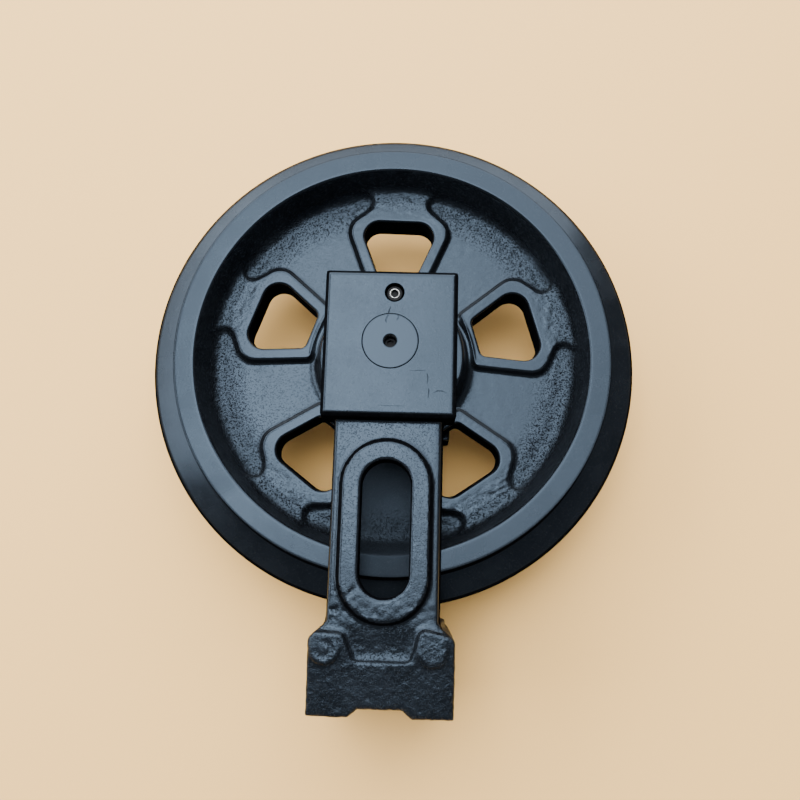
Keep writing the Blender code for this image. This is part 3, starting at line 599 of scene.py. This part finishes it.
def distance_to_line(x, y, rear, front):
    """Distance to the stretch of the arm's middle line between two places along it."""
    return np.hypot(x, y - np.clip(y, rear, front))


def plateau_share(x, y):
    """0 on the arm's level and 1 on the foot's raised parts, with a fillet and a steep wall."""
    outline = [point for points in rounded_corners(ARM_LEVEL_OUTLINE) for point in points]
    away = polygon_distance(x, y, outline)
    fillet = np.clip((away + 4.5) / 4.5, 0.0, 1.0) ** 2
    wall = smooth_step((away + 0.9) / 2.3)
    return 0.28 * fillet + 0.72 * wall


def top_height(x, y):
    """Height of the upper arm and foot: slot boss, pocket, raised parts and their two pads."""
    pocket = ARM_SURFACE - POCKET_DIP * smooth_step((POCKET_START - y) / POCKET_RUN)
    fall = np.clip((FOOT_TOP_START - y) / (FOOT_TOP_START - FOOT_REAR), 0.0, 1.0)
    plateau = FOOT_TOP - (FOOT_TOP - FOOT_TOP_REAR) * fall
    height = pocket + (plateau - pocket) * plateau_share(x, y)
    for place, (pad_x, pad_y, radius) in enumerate(PADS):
        away = np.hypot(x - pad_x, y - pad_y)
        level = smooth_step((radius + 1.0 - away) / 2.4)
        height = height + np.maximum(PAD_HEIGHT - height, 0.0) * level
        if place == 0:
            ring = np.exp(-((away - PAD_RING) / 1.2) ** 2)
            height = height - ring * (0.55 + 0.35 * np.sin(2.0 * np.arctan2(y - pad_y, x - pad_x)))
    away = distance_to_line(x, y, BOSS_REAR, BOSS_FRONT)
    boss = smooth_step((BOSS_HALF + BOSS_SLOPE - away) / BOSS_SLOPE)
    return height + BOSS_HEIGHT * boss


def arm_and_foot_field(x, y, z):
    """An arm and the upper half of the foot, open at the fork's gap."""
    across, along = x[:, :, 0], y[:, :, 0]
    cut_x, cut_y = FOOT_CORNER_CUT
    half = [(NOTCH_TOP_HALF, FOOT_REAR + NOTCH_DEPTH), (NOTCH_HALF, FOOT_REAR),
            (FOOT_HALF_X, FOOT_REAR), (FOOT_HALF_X, FOOT_CORNER),
            (FOOT_HALF_X - cut_x, FOOT_CORNER + cut_y), (ARM_ROOT_HALF, FOOT_SHOULDER),
            (ARM_ROOT_HALF, FOOT_FRONT)]
    outline = half + [(-px, py) for px, py in reversed(half)]
    foot = polygon_distance(across, along, outline)[:, :, None]
    up_the_arm = (z - INNER_PLANE) / (ARM_SURFACE - INNER_PLANE)
    arm_half = ARM_ROOT_HALF - (ARM_ROOT_HALF - ARM_TOP_HALF) * up_the_arm
    arm = np.maximum(np.abs(x) - arm_half, ARM_REAR - y)
    sides = smooth_min(arm, foot, BODY_FILLET)
    body = smooth_max(sides, z - top_height(across, along)[:, :, None], TOP_EDGE_ROUND)
    gap = smooth_max(z - INNER_PLANE, FOOT_FRONT - y, FORK_ROUND)
    body = smooth_max(body, -gap, FORK_EDGE)
    return np.maximum(body, y - ARM_FRONT)


def head_field(x, y, z):
    """One head: a square block with crisp chamfers."""
    side_x = np.abs(x) - HEAD_HALF_X
    middle = (HEAD_FRONT + HEAD_REAR) / 2
    side_y = np.abs(y - middle) - (HEAD_FRONT - HEAD_REAR) / 2
    outer = z - SHAFT_HALF
    block = smooth_max(side_x, side_y, TOP_EDGE_ROUND)
    block = np.maximum(np.maximum(block, outer), INNER_PLANE - z)
    for side in (side_x, side_y):
        block = np.maximum(block, (side + outer + HEAD_CHAMFER) / sqrt(2))
    return block


def cast_relief(points):
    """Height of the sand texture on the yoke: fine on the head, coarse towards the foot."""
    x, y, z = points.T
    on_head = smooth_step((z - 57.0) / 3.0) * smooth_step((y + 50.0) / 2.0)
    towards_foot = smooth_step((-148.0 - y) / 22.0)
    behind_pocket = smooth_step((-178.0 - y) / 8.0)
    strength = 0.010 + 0.026 * towards_foot + 0.028 * behind_pocket
    strength = strength * (1 - 0.8 * on_head)
    grain = ripple(points, 3.6, 11) + 0.9 * ripple(points, 7.0, 12) + 0.8 * ripple(points, 16.0, 13)
    relief = grain * strength
    pits = np.maximum(ripple(points, 5.0, 14) - 0.9, 0.0)
    corner = np.exp(-(((x - ARM_SCAR[0]) / 6.5) ** 2 + ((y - ARM_SCAR[1]) / 9.0) ** 2))
    nick_x, nick_y = x - BOSS_NICK[0], y - BOSS_NICK[1]
    nick = np.exp(-((np.abs(0.83 * nick_x - 0.56 * nick_y) / 1.2) ** 2))
    nick *= np.exp(-((nick_x / 3.5) ** 2 + (nick_y / 3.5) ** 2))
    return relief - pits * (0.10 * behind_pocket + 0.6 * corner) - 0.6 * nick


def yoke_mesh():
    """The yoke's casting without its machined holes: an upper half and its mirror image."""
    xs = np.arange(-47.5, 48.0, YOKE_STEP)
    ys = np.arange(FOOT_REAR - 3.0, HEAD_FRONT + 4.0, YOKE_STEP)
    zs = np.arange(0.0, SHAFT_HALF + 2.5, YOKE_STEP)
    x, y, z = xs[:, None, None], ys[None, :, None], zs[None, None, :]
    field = smooth_min(arm_and_foot_field(x, y, z), head_field(x, y, z), BODY_FILLET)
    slot = distance_to_line(x, y, SLOT_REAR, SLOT_FRONT) - SLOT_HALF
    slot = slot - np.abs(z - SLOT_DRAFT_LEVEL) * SLOT_DRAFT
    field = smooth_max(field, -slot, BODY_FILLET)
    near = np.argwhere(np.abs(field) < NET_REACH)
    points = np.stack([xs[near[:, 0]], ys[near[:, 1]], zs[near[:, 2]]], axis=1)
    field[tuple(near.T)] -= cast_relief(points)
    field = np.concatenate([field[:, :, :0:-1], field], axis=2)
    points, quads = surface_net(field, (xs[0], ys[0], -zs[-1]), YOKE_STEP)
    return mesh_from_arrays("yoke_casting", points, quads)


def cylinder_mesh(name, radius, low, high, place=(0.0, 0.0), steps=96):
    """A cylinder along Z, in millimetres about the wheel's centre."""
    shape = bmesh.new()
    bmesh.ops.create_cone(shape, cap_ends=True, segments=steps, radius1=radius * MM,
                          radius2=radius * MM, depth=abs(high - low) * MM)
    middle = MID_PLANE + (low + high) / 2 * MM
    bmesh.ops.translate(shape, verts=shape.verts, vec=(place[0] * MM, place[1] * MM, middle))
    return mesh_from_shape(name, shape)


def groove_mesh(name, radius, points):
    """A tapering closed tube along points on the upper head's face, for cutting a thin groove."""
    sides = 8
    shape = bmesh.new()
    rings = []
    for i, (x, y) in enumerate(points):
        before = points[max(i - 1, 0)]
        after = points[min(i + 1, len(points) - 1)]
        across = Vector((before[1] - after[1], after[0] - before[0])).normalized()
        reach = radius * (0.35 if i in (0, len(points) - 1) else 1.0)
        ring = []
        for k in range(sides):
            angle = 2 * pi * (k + 0.5) / sides
            spot = (x + across.x * reach * cos(angle), y + across.y * reach * cos(angle))
            height = MID_PLANE + (SHAFT_HALF + reach * sin(angle)) * MM
            ring.append(shape.verts.new((spot[0] * MM, spot[1] * MM, height)))
        rings.append(ring)
    for near, far in zip(rings, rings[1:]):
        for k in range(sides):
            following = (k + 1) % sides
            shape.faces.new((near[k], near[following], far[following], far[k]))
    shape.faces.new(rings[0])
    shape.faces.new(rings[-1])
    bmesh.ops.recalc_face_normals(shape, faces=shape.faces)
    return mesh_from_shape(name, shape)


def mark_cutters():
    """Cutters for the cracks, scuffs and pits in the upper head's face."""
    grooves = [groove_mesh("mark", radius, points) for radius, points in HEAD_MARKS]
    pits = [cylinder_mesh("pit", PIT_RADIUS, SHAFT_HALF - PIT_DEPTH, SHAFT_HALF + 1.0, place, 12)
            for place in HEAD_PITS]
    return grooves + pits


def cut(piece, *cutters):
    """Cut closed solids out of a piece and keep the result as its mesh."""
    helpers = [add_object(mesh.name, mesh) for mesh in cutters]
    for helper in helpers:
        modifier = piece.modifiers.new("cut", "BOOLEAN")
        modifier.operation = "DIFFERENCE"
        modifier.solver = "MANIFOLD"
        modifier.object = helper
    materials = list(piece.data.materials)
    bpy.context.view_layer.update()
    evaluated = piece.evaluated_get(bpy.context.evaluated_depsgraph_get())
    mesh = bpy.data.meshes.new_from_object(evaluated)
    piece.modifiers.clear()
    piece.data = mesh
    mesh.materials.clear()
    for material in materials:
        mesh.materials.append(material)
    for helper in helpers:
        bpy.data.objects.remove(helper, do_unlink=True)


def build_yoke(dull):
    """The yoke: a casting with crisp machined holes."""
    piece = fine_piece("guide_yoke", yoke_mesh(), "yoke_assembly", "painted_casting")
    cuts = [cylinder_mesh("shaft_bore", SHAFT_RADIUS + 0.3, -70.0, 70.0)]
    for side in (1, -1):
        for name, radius, low, high, place in (
                ("recess", 37.3, 25.0, 44.0, (0.0, 0.0)),
                ("clearance", 3.4, 30.0, 70.0, SCREW_PLACE),
                ("counterbore", COUNTERBORE_RADIUS, SHAFT_HALF - COUNTERBORE_DEPTH, 70.0,
                 SCREW_PLACE)):
            cuts.append(cylinder_mesh(name, radius, side * low, side * high, place))
    cut(piece, *cuts, *mark_cutters())
    piece.data.shade_smooth()
    piece.data.set_sharp_from_angle(angle=radians(55))
    # the faces picked below get the black paint that stands in for their shade
    piece.data.materials.append(dull)
    for face in piece.data.polygons:
        face.material_index = int(gets_painted_shade(face))


def gets_painted_shade(face):
    """True where the black painted shade goes: rear walls, sides, slopes, slot and counterbore."""
    x, y, height, level = face_place(face)
    if height > SHAFT_HALF - HEAD_CHAMFER - 0.3:
        return level < 0.9
    if height > INNER_PLANE and level < 0.5:
        on_head_rear = HEAD_REAR - DULL_REACH < y < HEAD_REAR + 1.0
        on_arm_side = ARM_TOP_HALF - DULL_REACH < abs(x) < ARM_ROOT_HALF + DULL_REACH
        if on_head_rear or (on_arm_side and y < HEAD_REAR):
            return True
    boss_line = distance_to_line(x, y, BOSS_REAR, BOSS_FRONT)
    if boss_line < BOSS_HALF + BOSS_SLOPE + DULL_REACH and height > ARM_SURFACE - 1.0:
        return level < 0.8
    in_counterbore = np.hypot(x - SCREW_PLACE[0], y - SCREW_PLACE[1]) < COUNTERBORE_RADIUS + 0.2
    slot_line = distance_to_line(x, y, SLOT_REAR, SLOT_FRONT)
    in_slot = slot_line < SLOT_HALF + 0.8 and height > INNER_PLANE
    return in_counterbore or (in_slot and level < 0.9)


# ======== shaft, plug and screws
def turned_piece(node, section, steps, place, slot):
    """A turned piece from (radius, height) points that start and end on its axis."""
    shape = bmesh.new()
    points = [shape.verts.new((radius * MM, 0.0, height * MM)) for radius, height in section]
    edges = [shape.edges.new(pair) for pair in zip(points, points[1:])]
    bmesh.ops.spin(shape, geom=points + edges, axis=(0, 0, 1), cent=(0, 0, 0), angle=2 * pi,
                   steps=steps, use_merge=True)
    bmesh.ops.remove_doubles(shape, verts=shape.verts, dist=0.000005)
    bmesh.ops.recalc_face_normals(shape, faces=shape.faces)
    offset = (place[0] * MM, place[1] * MM, MID_PLANE)
    bmesh.ops.translate(shape, verts=shape.verts, vec=offset)
    piece = fine_piece(node, mesh_from_shape(f"{node}_fine", shape), "yoke_assembly", slot)
    piece.data.shade_smooth()
    piece.data.set_sharp_from_angle(angle=radians(32))
    return piece


def build_shaft():
    """The shaft with its oil gallery."""
    radius, half = SHAFT_RADIUS, SHAFT_HALF
    section = [(0.0, -3.5), (1.5, -3.2), (4.1, -1.6), (4.1, half - 0.5), (4.3, half - 0.15),
               (4.6, half), (4.9, half), (radius - 0.9, half), (radius - 0.55, half),
               (radius - 0.2, half - 0.12),
               (radius - 0.02, half - 0.5), (radius, half - 1.2), (radius, -half + 1.2),
               (radius - 0.02, -half + 0.5), (radius - 0.2, -half + 0.12),
               (radius - 0.55, -half), (3.0, -half), (1.2, -half + 1.6), (0.0, -half + 2.2)]
    shaft = turned_piece("axle_shaft", section, 128, (0, 0), "ground_steel")
    cut(shaft, *mark_cutters()[:2])


def hexagon_mesh(name, across_flats, low, high, place):
    """A hexagon prism for cutting a socket."""
    return cylinder_mesh(name, across_flats / sqrt(3), low, high, place, 6)


def ends_of(node):
    """A node's lower and upper end, in millimetres from the middle plane."""
    return [(corner.z - MID_PLANE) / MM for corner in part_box(node)]


def build_plug():
    """The oil plug in the gallery, domed with a hexagon socket."""
    bottom, top = ends_of("oil_filler_plug")
    section = [(0.0, top), (2.9, top), (3.4, top - 0.15), (3.75, top - 0.6), (3.8, top - 1.2),
               (3.8, bottom + 0.5), (3.3, bottom), (0.0, bottom)]
    plug = turned_piece("oil_filler_plug", section, 48, (0, 0), "black_oxide")
    cut(plug, hexagon_mesh("plug_socket", 4.0, top - 3.0, top + 1.0, (0, 0)))


def build_screw(word, side, worn):
    """A socket-head cap screw; the edge of its socket is worn bright."""
    node = f"collar_cap_screw_{word}"
    tip, top = sorted(side * end for end in ends_of(node))
    bearing = top - 6.0
    section = [(0.0, top - 0.5), (2.5, top - 0.5), (2.6, top - 0.2), (2.75, top - 0.02),
               (2.9, top), (3.0, top - 0.03), (3.1, top - 0.08), (3.3, top - 0.1),
               (4.2, top - 0.1), (4.7, top - 0.25), (4.95, top - 0.6), (5.0, top - 1.1),
               (5.0, bearing + 0.2),
               (4.8, bearing), (2.95, bearing), (2.9, bearing - 0.2), (2.9, tip + 0.5),
               (2.4, tip), (0.0, tip)]
    section = [(radius, side * height) for radius, height in section]
    screw = turned_piece(node, section, 64, SCREW_PLACE, "black_oxide")
    screw.data.materials.append(worn)
    cut(screw, hexagon_mesh("socket", 5.0, side * (top - 3.0), side * (top + 1.0), SCREW_PLACE))
    for face in screw.data.polygons:
        x, y, _, level = face_place(face)
        if 2.6 < np.hypot(x - SCREW_PLACE[0], y - SCREW_PLACE[1]) < 2.98 and level > 0.2:
            face.material_index = 1


# ======== materials
SKY_TINT = (0.57, 0.76, 1.0)
PAINT_IOR = 1.43
PAINT = (0.0025, 0.0028, 0.0035)
PAINT_DARK = (0.0020, 0.0022, 0.0028)
PAINT_PALE = (0.0034, 0.0038, 0.0048)
WORN_PAINT = (0.02, 0.022, 0.026)
DUST = (0.020, 0.021, 0.023)
# where a paint's finish changes along the row frame's axes, in metres
FOOT_COARSE = (-0.168, -0.186)
HEAD_SMOOTH = (-0.050, -0.046)
RIM_SMOOTH = (0.1295, 0.1312)
CORNER_COARSE = (0.096, 0.118)
LIP_LEVEL = (0.0095, 0.0115)
LIP_RADIUS = (0.118, 0.114)
BEHIND_ARMS = (0.036, 0.028)


class Shader:
    """A Principled material and the nodes that feed it."""

    def __init__(self, name, colour, roughness, metallic=0.0, ior=1.5, tint=(1.0, 1.0, 1.0)):
        self.material = bpy.data.materials.new(name)
        self.material.use_nodes = True
        self.nodes = self.material.node_tree.nodes
        self.surface = self.nodes["Principled BSDF"]
        self.feed(self.surface, {"Base Color": (*colour, 1.0), "Roughness": roughness,
                                 "Metallic": metallic, "IOR": ior, "Specular Tint": (*tint, 1.0)})
        self.place = self.node("TexCoord", {}).outputs["Object"]

    def feed(self, node, inputs):
        """Link each input to its output or set its constant, and leave those that get None."""
        for name, value in inputs.items():
            if isinstance(value, bpy.types.NodeSocket):
                self.material.node_tree.links.new(value, node.inputs[name])
            elif value is not None:
                node.inputs[name].default_value = value

    def node(self, kind, inputs, **settings):
        """A new node with its settings and then its inputs."""
        node = self.nodes.new(f"ShaderNode{kind}")
        for name, value in settings.items():
            setattr(node, name, value)
        self.feed(node, inputs)
        return node

    def noise(self, scale, detail=3.0, roughness=0.55, stretch=None):
        """Noise of a size given as features per metre."""
        place = self.place
        if stretch:
            place = self.node("Mapping", {"Vector": place, "Scale": stretch}).outputs["Vector"]
        inputs = {"Vector": place, "Scale": scale, "Detail": detail, "Roughness": roughness}
        return self.node("TexNoise", inputs).outputs["Fac"]

    def spread(self, value, low, high, to_low=0.0, to_high=1.0):
        """A value mapped smoothly from one range to another."""
        inputs = {"Value": value, "From Min": low, "From Max": high, "To Min": to_low,
                  "To Max": to_high}
        return self.node("MapRange", inputs, interpolation_type="SMOOTHSTEP").outputs["Result"]

    def math(self, operation, first, second=0.0):
        """One arithmetic step."""
        return self.node("Math", {0: first, 1: second}, operation=operation).outputs["Value"]

    def plus(self, value, other, share):
        """A value and a share of another."""
        return self.math("ADD", value, self.math("MULTIPLY", other, share))

    def mix(self, share, first, second):
        """A mix of two colours."""
        ends = [(*end, 1.0) if isinstance(end, tuple) else end for end in (first, second)]
        inputs = {"Factor": share, "A": ends[0], "B": ends[1]}
        return self.node("Mix", inputs, data_type="RGBA").outputs["Result"]

    def axis(self, name, vector=None):
        """One coordinate of the surface in the row frame, in metres, or of another vector."""
        return self.node("SeparateXYZ", {"Vector": vector or self.place}).outputs[name]

    def radius(self):
        """Distance from the shaft's axis, in metres."""
        x, y = self.axis("X"), self.axis("Y")
        return self.math("SQRT", self.plus(self.math("MULTIPLY", x, x), y, y))

    def steepness(self):
        """0 on level faces and 1 on upright ones."""
        normal = self.node("NewGeometry", {}).outputs["Normal"]
        return self.spread(self.math("ABSOLUTE", self.axis("Z", normal)), 0.25, 0.65, 1.0, 0.0)

    def dust(self):
        """Sparse fine specks."""
        return self.spread(self.noise(1500.0, 2.0, 0.6), 0.56, 0.74, 0.0, 0.8)

    def pits(self, scale):
        """A level surface with scattered steep pits, as sand leaves in a casting."""
        return self.spread(self.noise(scale, 3.0, 0.6), 0.34, 0.45)

    def paint_colour(self, blotch, wear):
        """Black paint that drifts with the blotches, thin on edges where the wear says, dusty."""
        colour = self.mix(self.spread(blotch, 0.35, 0.7), PAINT_DARK, PAINT_PALE)
        worn = self.math("MULTIPLY", self.edges(0.53, 0.60), wear)
        colour = self.mix(self.math("MULTIPLY", worn, 0.5), colour, WORN_PAINT)
        return self.mix(self.dust(), colour, DUST)

    def edges(self, low, high):
        """1 on convex edges and 0 elsewhere."""
        return self.spread(self.node("NewGeometry", {}).outputs["Pointiness"], low, high)

    def bump(self, height, distance, strength=1.0, under=None):
        """A bump, laid over another one if given."""
        inputs = {"Strength": strength, "Distance": distance, "Height": height, "Normal": under}
        return self.node("Bump", inputs).outputs["Normal"]

    def finish(self, colour, roughness, normal=None, metallic=None):
        """Link the finished parts to the surface."""
        self.feed(self.surface, {"Base Color": colour, "Roughness": roughness,
                                 "Normal": normal, "Metallic": metallic})
        return self.material


def painted_casting():
    """Gloss black paint over a sand casting: orange peel, cast grain, thin paint on the edges."""
    s = Shader("gloss_black_on_casting", PAINT, 0.2, ior=PAINT_IOR, tint=SKY_TINT)
    towards_foot = s.spread(s.axis("Y"), *FOOT_COARSE)
    head_top = s.spread(s.axis("Y"), *HEAD_SMOOTH)
    grain = s.noise(700.0)
    peel = s.noise(900.0, 2.0, 0.5)
    coarse = s.plus(0.22, towards_foot, 0.78)
    grain_strength = s.math("MULTIPLY", coarse, s.spread(head_top, 0.0, 1.0, 1.0, 0.5))
    normal = s.bump(grain, 0.00030, grain_strength)
    normal = s.bump(s.pits(780.0), 0.00032, grain_strength, normal)
    normal = s.bump(peel, 0.00006, 0.4, normal)
    blotch = s.noise(45.0)
    colour = s.paint_colour(blotch, s.spread(s.noise(160.0, 4.0), 0.45, 0.65))
    gloss = s.plus(s.spread(blotch, 0.3, 0.75, 0.16, 0.27), towards_foot, 0.07)
    gloss = s.plus(gloss, s.steepness(), 0.25)
    return s.finish(colour, gloss, normal)


def mottled(name, colours, roughness, gloss, scale, detail=3.0, share=None, metallic=0.0,
            ior=1.5, bump=(0.00005, 0.5)):
    """A material whose colour and gloss drift together from one end to the other."""
    plain, first, second = colours
    s = Shader(name, plain, roughness, metallic, ior)
    blotch = s.noise(scale, detail)
    colour = s.mix(s.spread(blotch, *share) if share else blotch, first, second)
    return s.finish(colour, s.spread(blotch, 0.3, 0.7, *gloss), s.bump(blotch, *bump))


def painted_shade_black():
    """Painted shade: black paint that reflects nothing, for walls of windows and slots, and
    arrises.
    """
    colours = ((0.0028, 0.0031, 0.0037), (0.0020, 0.0022, 0.0028), (0.0036, 0.0040, 0.0050))
    # an IOR of 1.0 takes every reflection away, so these faces show black as painted shade
    return mottled("black_painted_shade", colours, 0.8, (0.7, 0.9), 300.0,
                   share=(0.35, 0.7), ior=1.0, bump=(0.0001, 0.5))


def painted_wheel():
    """The same paint on the wheel: rough web, smooth machined rim with turning marks."""
    s = Shader("gloss_black_on_wheel", PAINT, 0.2, ior=PAINT_IOR, tint=SKY_TINT)
    radius = s.radius()
    rim = s.spread(radius, *RIM_SMOOTH)
    corner = s.spread(radius, *CORNER_COARSE)
    grain = s.noise(740.0, 4.0, 0.65)
    from_middle = s.math("ABSOLUTE", s.math("SUBTRACT", s.axis("Z"), MID_PLANE))
    on_lip = s.math("MULTIPLY", s.spread(from_middle, *LIP_LEVEL), s.spread(radius, *LIP_RADIUS))
    rough = s.plus(0.16, corner, 0.84)
    rough = s.math("MULTIPLY", rough, s.spread(rim, 0.0, 1.0, 1.0, 0.0))
    rough = s.math("MULTIPLY", rough, s.spread(on_lip, 0.0, 1.0, 1.0, 0.35))
    normal = s.bump(grain, 0.0004, rough)
    normal = s.bump(s.pits(820.0), 0.0006, rough, normal)
    wave = s.math("SINE", s.math("MULTIPLY", radius, 2 * pi / 0.0009))
    normal = s.bump(s.plus(wave, s.noise(60.0), 3.0), 0.0000045, rim, normal)
    normal = s.bump(s.noise(900.0, 2.0, 0.5), 0.00005, 0.4, normal)
    blotch = s.noise(38.0)
    colour = s.paint_colour(blotch, s.spread(s.noise(150.0, 4.0), 0.48, 0.66))
    gloss = s.plus(s.spread(blotch, 0.3, 0.75, 0.15, 0.25), rim, 0.06)
    gloss = s.plus(gloss, s.steepness(), 0.2)
    across = s.spread(s.math("ABSOLUTE", s.axis("X")), *BEHIND_ARMS)
    behind_arms = s.math("MULTIPLY", across, s.spread(s.axis("Y"), -0.05, -0.06))
    return s.finish(colour, s.plus(gloss, behind_arms, 0.4), normal)


def shaft_steel():
    """Ground steel, painted over on its two end faces."""
    s = Shader("ground_steel_with_painted_ends", (0.45, 0.46, 0.47), 0.25, 1.0, PAINT_IOR,
               SKY_TINT)
    z = s.axis("Z")
    upper = s.spread(z, SHAFT_HIGH.z - 0.0014, SHAFT_HIGH.z - 0.0006)
    lower = s.spread(z, SHAFT_LOW.z + 0.0014, SHAFT_LOW.z + 0.0006)
    paint = s.math("MAXIMUM", upper, lower)
    scratches = s.noise(300.0, 3.0, 0.6, (1.0, 1.0, 6.0))
    steel = s.mix(scratches, (0.38, 0.39, 0.40), (0.52, 0.53, 0.54))
    colour = s.mix(paint, steel, (0.0026, 0.0029, 0.0037))
    gloss = s.spread(scratches, 0.3, 0.7, 0.16, 0.30)
    gloss = s.math("MULTIPLY", gloss, s.spread(paint, 0.0, 1.0, 1.0, 0.0))
    gloss = s.plus(gloss, paint, 0.2)
    metal = s.math("SUBTRACT", 1.0, paint)
    normal = s.bump(s.noise(850.0, 2.0), 0.00006, 0.25)
    return s.finish(colour, gloss, normal, metal)


def black_oxide():
    """Oiled black-oxide steel."""
    colours = ((0.006, 0.006, 0.007), (0.004, 0.004, 0.005), (0.010, 0.010, 0.011))
    return mottled("black_oxide_steel", colours, 0.5, (0.42, 0.6), 700.0, 4.0, (0.35, 0.7),
                   metallic=0.4, ior=1.25, bump=(0.00005, 0.6))


def worn_steel():
    """Bright steel where a key has rubbed the oxide off."""
    colours = ((0.62, 0.61, 0.58), (0.52, 0.51, 0.49), (0.22, 0.21, 0.21))
    return mottled("worn_bright_steel", colours, 0.3, (0.22, 0.45), 1500.0,
                   share=(0.35, 0.75), metallic=1.0, bump=(0.00004, 0.5))


def lapped_iron():
    """Chilled iron of the face seal rings."""
    colours = ((0.30, 0.31, 0.32), (0.24, 0.25, 0.26), (0.36, 0.37, 0.38))
    return mottled("lapped_chilled_iron", colours, 0.18, (0.12, 0.26), 400.0, metallic=1.0,
                   bump=(0.00003, 0.5))


def bush_bronze():
    """Bored bronze of the bushes."""
    colours = ((0.52, 0.33, 0.13), (0.42, 0.25, 0.09), (0.60, 0.40, 0.17))
    return mottled("bored_bronze", colours, 0.3, (0.24, 0.42), 220.0, 4.0, metallic=1.0)


def seal_rubber():
    """Nitrile rubber with a dusting of grease."""
    colours = ((0.014, 0.014, 0.014), (0.010, 0.010, 0.010), (0.024, 0.023, 0.022))
    return mottled("nitrile_rubber", colours, 0.55, (0.45, 0.7), 500.0, 4.0,
                   bump=(0.00006, 0.5))


def floor_material():
    """A plain pale warm floor."""
    s = Shader("pale_floor", (0.98, 0.56, 0.17), 0.7)
    cloud = s.noise(2.0, 2.0)
    colour = s.mix(cloud, (0.97, 0.54, 0.16), (0.99, 0.58, 0.18))
    return s.finish(colour, s.spread(cloud, 0.3, 0.7, 0.62, 0.74))


FINISHES = {
    "painted_casting": painted_casting(),
    "painted_wheel": painted_wheel(),
    "ground_steel": shaft_steel(),
    "black_oxide": black_oxide(),
    "chilled_iron": lapped_iron(),
    "bronze": bush_bronze(),
    "rubber": seal_rubber(),
}


# ======== assembly of the looks
def paint_cad_nodes():
    """Give each CAD node that stays in view its finish."""
    slots = {entry["node"]: entry["material_slot"] for entry in frame["record"]["subparts"]}
    for name, node in frame["nodes"].items():
        if not node.hide_render:
            node.data.materials.clear()
            node.data.materials.append(FINISHES[slots[name]])


def add_panel(name, east, north, distance, size, radiance):
    """A soft panel that faces the idler from the given tilts, in degrees from straight above."""
    away = Vector((tan(radians(east)), tan(radians(north)), 1.0)).normalized()
    data = bpy.data.lights.new(name, "AREA")
    data.shape = "RECTANGLE"
    data.size, data.size_y = size
    data.energy = radiance * pi * size[0] * size[1]
    data.color = PANEL_COLOUR
    light = add_object(name, data)
    across = Vector((0.0, 1.0, 0.0)).cross(away).normalized()
    turn = Matrix((across, away.cross(across), away)).transposed()
    light.matrix_world = Matrix.Translation(away * distance) @ turn.to_4x4()


def build_stage():
    """Floor, soft studio light from above, behind and the left, and a dim world."""
    level = CAD_BOX[0].z - FLOOR_GAP
    bpy.ops.mesh.primitive_plane_add(size=FLOOR_SIZE, location=(0.0, 0.0, level))
    floor = bpy.context.object
    floor.name = "floor"
    floor.data.materials.append(floor_material())
    for panel in PANELS:
        add_panel(*panel)
    world = bpy.data.worlds.new("dim_room")
    world.use_nodes = True
    background = world.node_tree.nodes["Background"]
    background.inputs["Color"].default_value = ROOM_COLOUR
    background.inputs["Strength"].default_value = ROOM_STRENGTH
    bpy.context.scene.world = world


def build_camera():
    """The camera above the assembly, nearly looking straight down."""
    data = bpy.data.cameras.new("camera")
    data.lens = CAMERA_LENS
    data.sensor_width = SENSOR
    data.clip_start = 0.01
    camera = add_object("camera", data)
    place = Matrix.Translation((*CAMERA_PLACE, WHEEL_HIGH.z + CAMERA_ABOVE_RIM))
    for angle, axis in ((CAMERA_TURN, "Z"), (CAMERA_TILT, "X"), (CAMERA_ROLL, "Y")):
        place = place @ Matrix.Rotation(radians(angle), 4, axis)
    camera.matrix_world = place
    bpy.context.scene.camera = camera


SECTION = section_table()


def main():
    """Build every fine piece, paint it and set the stage."""
    build_camera()
    # black paint that reflects nothing, used as painted shade on walls, sides and arrises
    dull = painted_shade_black()
    worn = worn_steel()
    wheel = fine_piece("idler_wheel", wheel_mesh(), "wheel_assembly", "painted_wheel")
    paint_shade_on_walls_and_arrises(wheel.data, dull)
    build_yoke(dull)
    build_shaft()
    build_plug()
    build_screw("upper", 1, worn)
    build_screw("lower", -1, worn)
    paint_cad_nodes()
    build_stage()


main()
